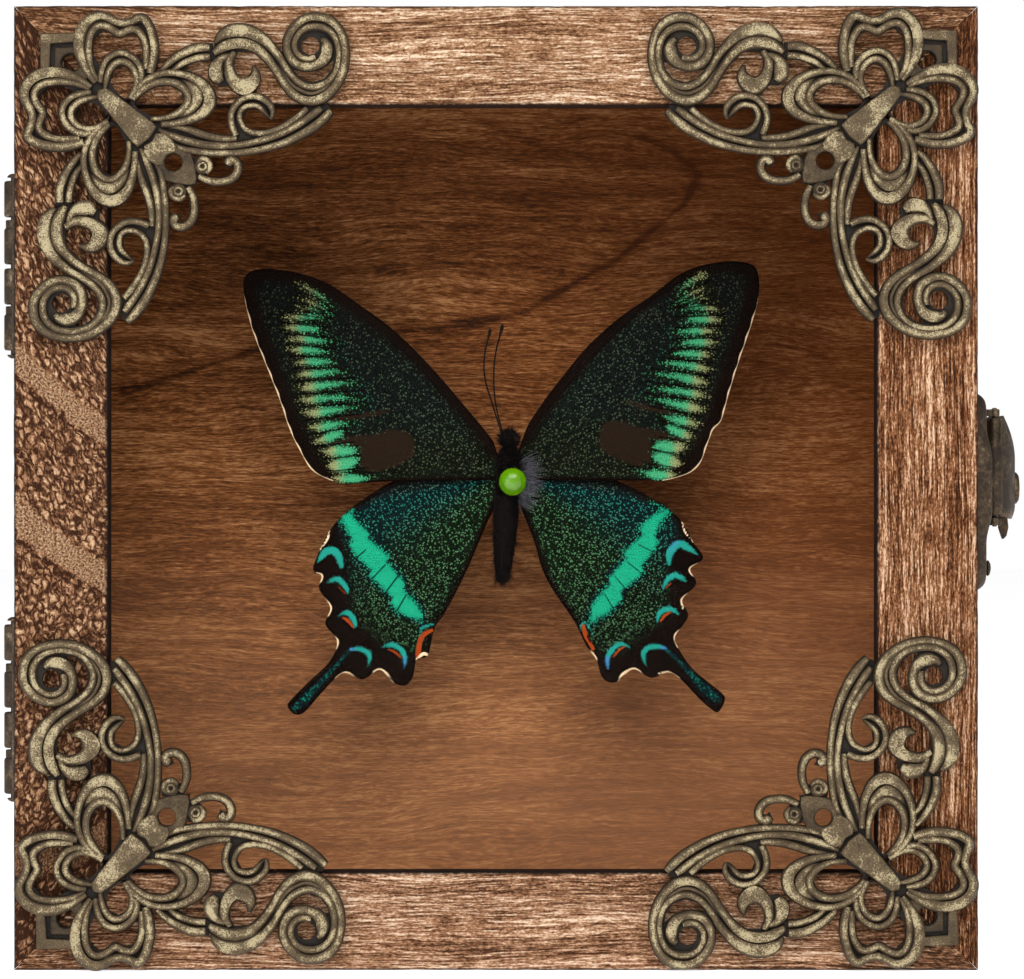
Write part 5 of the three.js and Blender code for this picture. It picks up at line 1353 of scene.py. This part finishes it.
def furShader(name, dark, light):
    shader = Shader(name)
    place = shader.objectPlace()
    tone = shader.noise(place, 1.1, 3.0) * 0.6 + shader.noise(place, 5.0, 2.0) * 0.4
    colour = shader.ramp(tone, (0.32, dark), (0.68, light))
    shader.surface(colour, 0.6 + tone * 0.2, normal=shader.bump(tone, 0.06), Specular_IOR_Level=0.03)
    return shader


def addHairs(strokes, rng, count, root, direction, length, radius, bend):
    for _ in range(count):
        start, normal = root(rng)
        way = (normal * 0.6 + direction + Vector([rng.gauss(0, 0.28) for _ in range(3)])).normalized()
        reach = length * rng.uniform(0.5, 1.15)
        middle = start + way * reach * 0.55
        end = start + way * reach + Vector([rng.gauss(0, 0.12) for _ in range(3)]) + bend * reach
        strokes.append([(*start, radius), (*middle, radius * 0.8), (*end, radius * 0.15)])


def onEllipsoid(centre, radii):
    centre, radii = Vector(centre), Vector(radii)

    def root(rng):
        way = Vector([rng.gauss(0, 1) for _ in range(3)]).normalized()
        if way.y > 0.35:
            way.y = -way.y
        spot = Vector([c + r * w for c, r, w in zip(centre, radii * 0.96, way)])
        return spot, Vector([w / r for w, r in zip(way, radii)]).normalized()
    return root


def makeBody():
    rng = random.Random(5)
    black = furShader("blackFur", rgb(4, 3, 3), rgb(26, 21, 20))
    bm = bmesh.new()
    for part in ("thorax", "head"):
        centre, radii = bodyShape[part]
        place = Matrix.Translation(centre) @ Matrix.Diagonal((*radii, 1))
        bmesh.ops.create_uvsphere(bm, u_segments=32, v_segments=20, radius=1, matrix=place)
    foot, lean, length, profile = bodyShape["abdomen"]
    rings = []
    last = bodyShape["rings"] - 1
    for i in range(last + 1):  # segments of the abdomen stand out as soft rings
        h = length * i / last
        j = max(k for k in range(len(profile) - 1) if profile[k][1] <= h + 1e-9)
        (ra, ha), (rb, hb) = profile[j], profile[j + 1]
        t = (h - ha) / (hb - ha)
        ring = 0.07 * abs(math.sin(h * math.pi / 2.1)) if 0 < i < last else 0
        rings.append((ra + (rb - ra) * t + ring, h))
    lean = math.radians(lean)
    addLathe(bm, rings, foot, (math.sin(lean), 0, math.cos(lean)), 28)
    for eye in bodyShape["eyes"]:
        place = Matrix.Translation(eye)
        bmesh.ops.create_uvsphere(bm, u_segments=20, v_segments=14, radius=bodyShape["eyeRadius"],
                                  matrix=place)
    bmesh.ops.recalc_face_normals(bm, faces=bm.faces)
    strokes = []
    down = Vector((0, -0.15, -0.75))
    addHairs(strokes, rng, hairs["thorax"], onEllipsoid(*bodyShape["thorax"]), down, 1.3, 0.045,
             Vector((0, -0.1, -0.1)))
    addHairs(strokes, rng, hairs["head"], onEllipsoid(*bodyShape["head"]), Vector((0, -0.2, 0.25)), 0.8,
             0.04, Vector((0, 0, 0.1)))
    for i in range(hairs["girdles"]):
        t = i / (hairs["girdles"] - 1)
        h = 1.5 + 14.0 * t
        centre = Vector(foot) + Vector((math.sin(lean), 0, math.cos(lean))) * h
        radius = 1.2 + 0.7 * math.sin(min(1.0, t * 1.3) * math.pi / 2)
        addHairs(strokes, rng, hairs["girdle"], onEllipsoid(centre, (radius, radius, 1.2)), down * 0.9,
                 1.1, 0.05, Vector((0, 0, -0.15)))
    bm.from_mesh(tubeMesh(strokes, 0, 1, True))
    finishPiece("furry_body", bm, [black], "box", ["butterfly_body"])

    grey = furShader("greyFur", rgb(40, 38, 44), rgb(118, 116, 126))
    strokes = []

    def besideThorax(rng):
        turn, off = rng.uniform(-1.5, 1.2), rng.uniform(0.0, 0.5)
        way = Vector((math.cos(turn), 0.0, math.sin(turn)))
        reach = rng.uniform(0.4, 1.9)
        spot = Vector((3.3, 0.7 - off, 76.4)) + Vector((way.x * reach, 0, way.z * (2.0 + reach)))
        return spot, Vector((way.x, -0.4, way.z * 0.8))
    addHairs(strokes, rng, hairs["tuft"], besideThorax, Vector((0.6, -0.1, -0.15)), 3.0, 0.022,
             Vector((0.1, 0.02, 0)))
    bm = bmesh.new()
    bm.from_mesh(tubeMesh(strokes, 0, 1, True))
    finishPiece("grey_tuft", bm, [grey], "box")
    print("body made")


def makeAntennae():
    shader = furShader("antennaHorn", rgb(12, 8, 7), rgb(42, 30, 24))
    marks = {"left": [(0.7, 1, 84.2), (-0.5, 0.8, 88), (-1.95, 0.4, 93.3), (-1.85, 0.2, 97),
                      (-1.0, 0, 100.7)],
             "right": [(0.9, 1, 84.2), (-0.15, 0.8, 88.6), (-0.45, 0.4, 93.3), (-0.1, 0.2, 97),
                       (1.0, 0, 101.4)]}
    for side, points in marks.items():
        stem = [(*point, 0.14) for point in points[:-1]]
        tip, before = Vector(points[-1]), Vector(points[-2])
        club = [(*before.lerp(tip, t), r) for t,
                r in ((0.55, 0.15), (0.72, 0.26), (0.88, 0.33), (1.0, 0.16))]
        bm = bmesh.new()
        bm.from_mesh(tubeMesh([stem + club], 3, 10))
        finishPiece(f"clubbed_antenna_{side}", bm, [shader], "box", [f"antenna_{side}"])
    print("antennae made")


def makePin():
    steel = Shader("drawnSteel")
    place = steel.objectPlace()
    drawn = steel.grain(place, (6, 0.4, 6), 2.0)
    colour = steel.mix(drawn, rgb(150, 152, 156), rgb(206, 208, 210))
    steel.surface(colour, 0.2 + drawn * 0.2, 1.0, normal=steel.bump(drawn, 0.02))
    bm = bmesh.new()
    start, tip, r = pin["headY"] + 0.5, pin["tip"], pin["radius"]
    profile = [(0, start), (r, start), (r, tip - 2.0), (r * 0.7, tip - 1.0), (0.02, tip), (0, tip)]
    addLathe(bm, profile, (pin["x"], 0, pin["z"]), (0, 1, 0), 20)
    bmesh.ops.recalc_face_normals(bm, faces=bm.faces)
    sharpEdges(finishPiece("pointed_pin", bm, [steel], "box", ["insect_pin"]), 40)

    lime = Shader("limeEnamel")
    place = lime.objectPlace()
    cloud = lime.noise(place, 0.5, 2.0)
    speck = lime.noise(place, 4.0, 2.0)
    colour = lime.mix(cloud, rgb(64, 116, 0), rgb(92, 142, 0))
    rough = 0.16 + speck * 0.1
    lime.surface(colour, rough, normal=lime.bump(speck, 0.012), Coat_Weight=0.4, Coat_Roughness=0.08)
    bm = bmesh.new()
    r = pin["headRadius"]
    globe = [(r * math.sin(a), -r * math.cos(a)) for a in spaced(0, math.pi * 0.93, math.pi / 40)]
    collar = [(0.5, r * 0.985), (0.42, r * 0.93), (0.36, r * 0.8)]
    addLathe(bm, globe + collar, (pin["x"], pin["headY"], pin["z"]), (0, 1, 0), 64)
    bmesh.ops.recalc_face_normals(bm, faces=bm.faces)
    finishPiece("glazed_pin_head", bm, [lime], "box", ["pin_head"])
    print("pin made")


camera = {"place": (2.487, -622.5, 74.77), "width": 159.17, "distance": 600.0, "sensor": 36.0}


def makeCamera():
    data = bpy.data.cameras.new("camera")
    data.sensor_width = camera["sensor"]
    data.lens = camera["sensor"] * camera["distance"] / camera["width"]
    data.clip_start = 0.01
    data.clip_end = 20.0
    holder = bpy.data.objects.new("camera", data)
    holder.location = Vector(camera["place"]) * mm
    holder.rotation_euler = (math.pi / 2, 0, 0)
    bpy.context.scene.collection.objects.link(holder)
    bpy.context.scene.camera = holder


def addLight(name, place, aim, size, watts):
    data = bpy.data.lights.new(name, "AREA")
    data.shape = "RECTANGLE"
    data.size, data.size_y = size
    data.energy = watts
    holder = bpy.data.objects.new(name, data)
    holder.location = place
    holder.rotation_euler = (Vector(aim) - Vector(place)).to_track_quat("-Z", "Y").to_euler()
    bpy.context.scene.collection.objects.link(holder)


studio = {
    "world": 0.26, "glow": 0.74, "floor": 3,
    "lights": {  # place, aim, size and watts
        "above": ((0.0, -0.75, 0.85), (0, 0, 0.075), (1.0, 0.6), 7.6),
        "front left": ((-0.7, -0.8, 0.35), (0, 0, 0.07), (0.5, 0.7), 2.0),
    },
}


def makeStudio():
    bpy.context.scene.view_settings.view_transform = "Standard"
    world = bpy.data.worlds.new("studio")
    world.use_nodes = True
    nodes, links = world.node_tree.nodes, world.node_tree.links
    nodes["Background"].inputs["Color"].default_value = (1, 1, 1, 1)
    nodes["Background"].inputs["Strength"].default_value = studio["world"]
    backdrop = nodes.new("ShaderNodeBackground")
    seen = nodes.new("ShaderNodeLightPath")
    mixed = nodes.new("ShaderNodeMixShader")
    links.new(seen.outputs["Is Camera Ray"], mixed.inputs[0])
    links.new(nodes["Background"].outputs[0], mixed.inputs[1])
    links.new(backdrop.outputs[0], mixed.inputs[2])
    links.new(mixed.outputs[0], nodes["World Output"].inputs["Surface"])
    backdrop.inputs["Color"].default_value = (1, 1, 1, 1)
    bpy.context.scene.world = world
    for name, settings in studio["lights"].items():
        addLight(name, *settings)
    floorBm = bmesh.new()
    bmesh.ops.create_grid(floorBm, x_segments=1, y_segments=1, size=studio["floor"])
    mesh = bpy.data.meshes.new("floor")
    floorBm.to_mesh(mesh)
    floorBm.free()
    shader = Shader("paleFloor")
    mottle = shader.noise(shader.objectPlace(), 0.01, 2.0)
    pale = shader.mix(mottle, (0.86, 0.86, 0.86, 1), (0.9, 0.9, 0.9, 1))
    shader.surface(pale, 0.8, Emission_Color=(1, 1, 1, 1), Emission_Strength=studio["glow"])
    mesh.materials.append(shader.material)
    floor = bpy.data.objects.new("floor", mesh)
    bpy.context.scene.collection.objects.link(floor)


makeCamera()
makeStudio()
makeRails()
makeBoards()
makeBacking()
makeGlass()
makeCastings()
bronze = agedBronze()
makeHinges(bronze)
makeNails(bronze)
makeClasp(bronze)
scales = wingScales()
for wing in wingOutlines:
    makeWing(wing, scales)
print("wings made")
makeBody()
makeAntennae()
makePin()
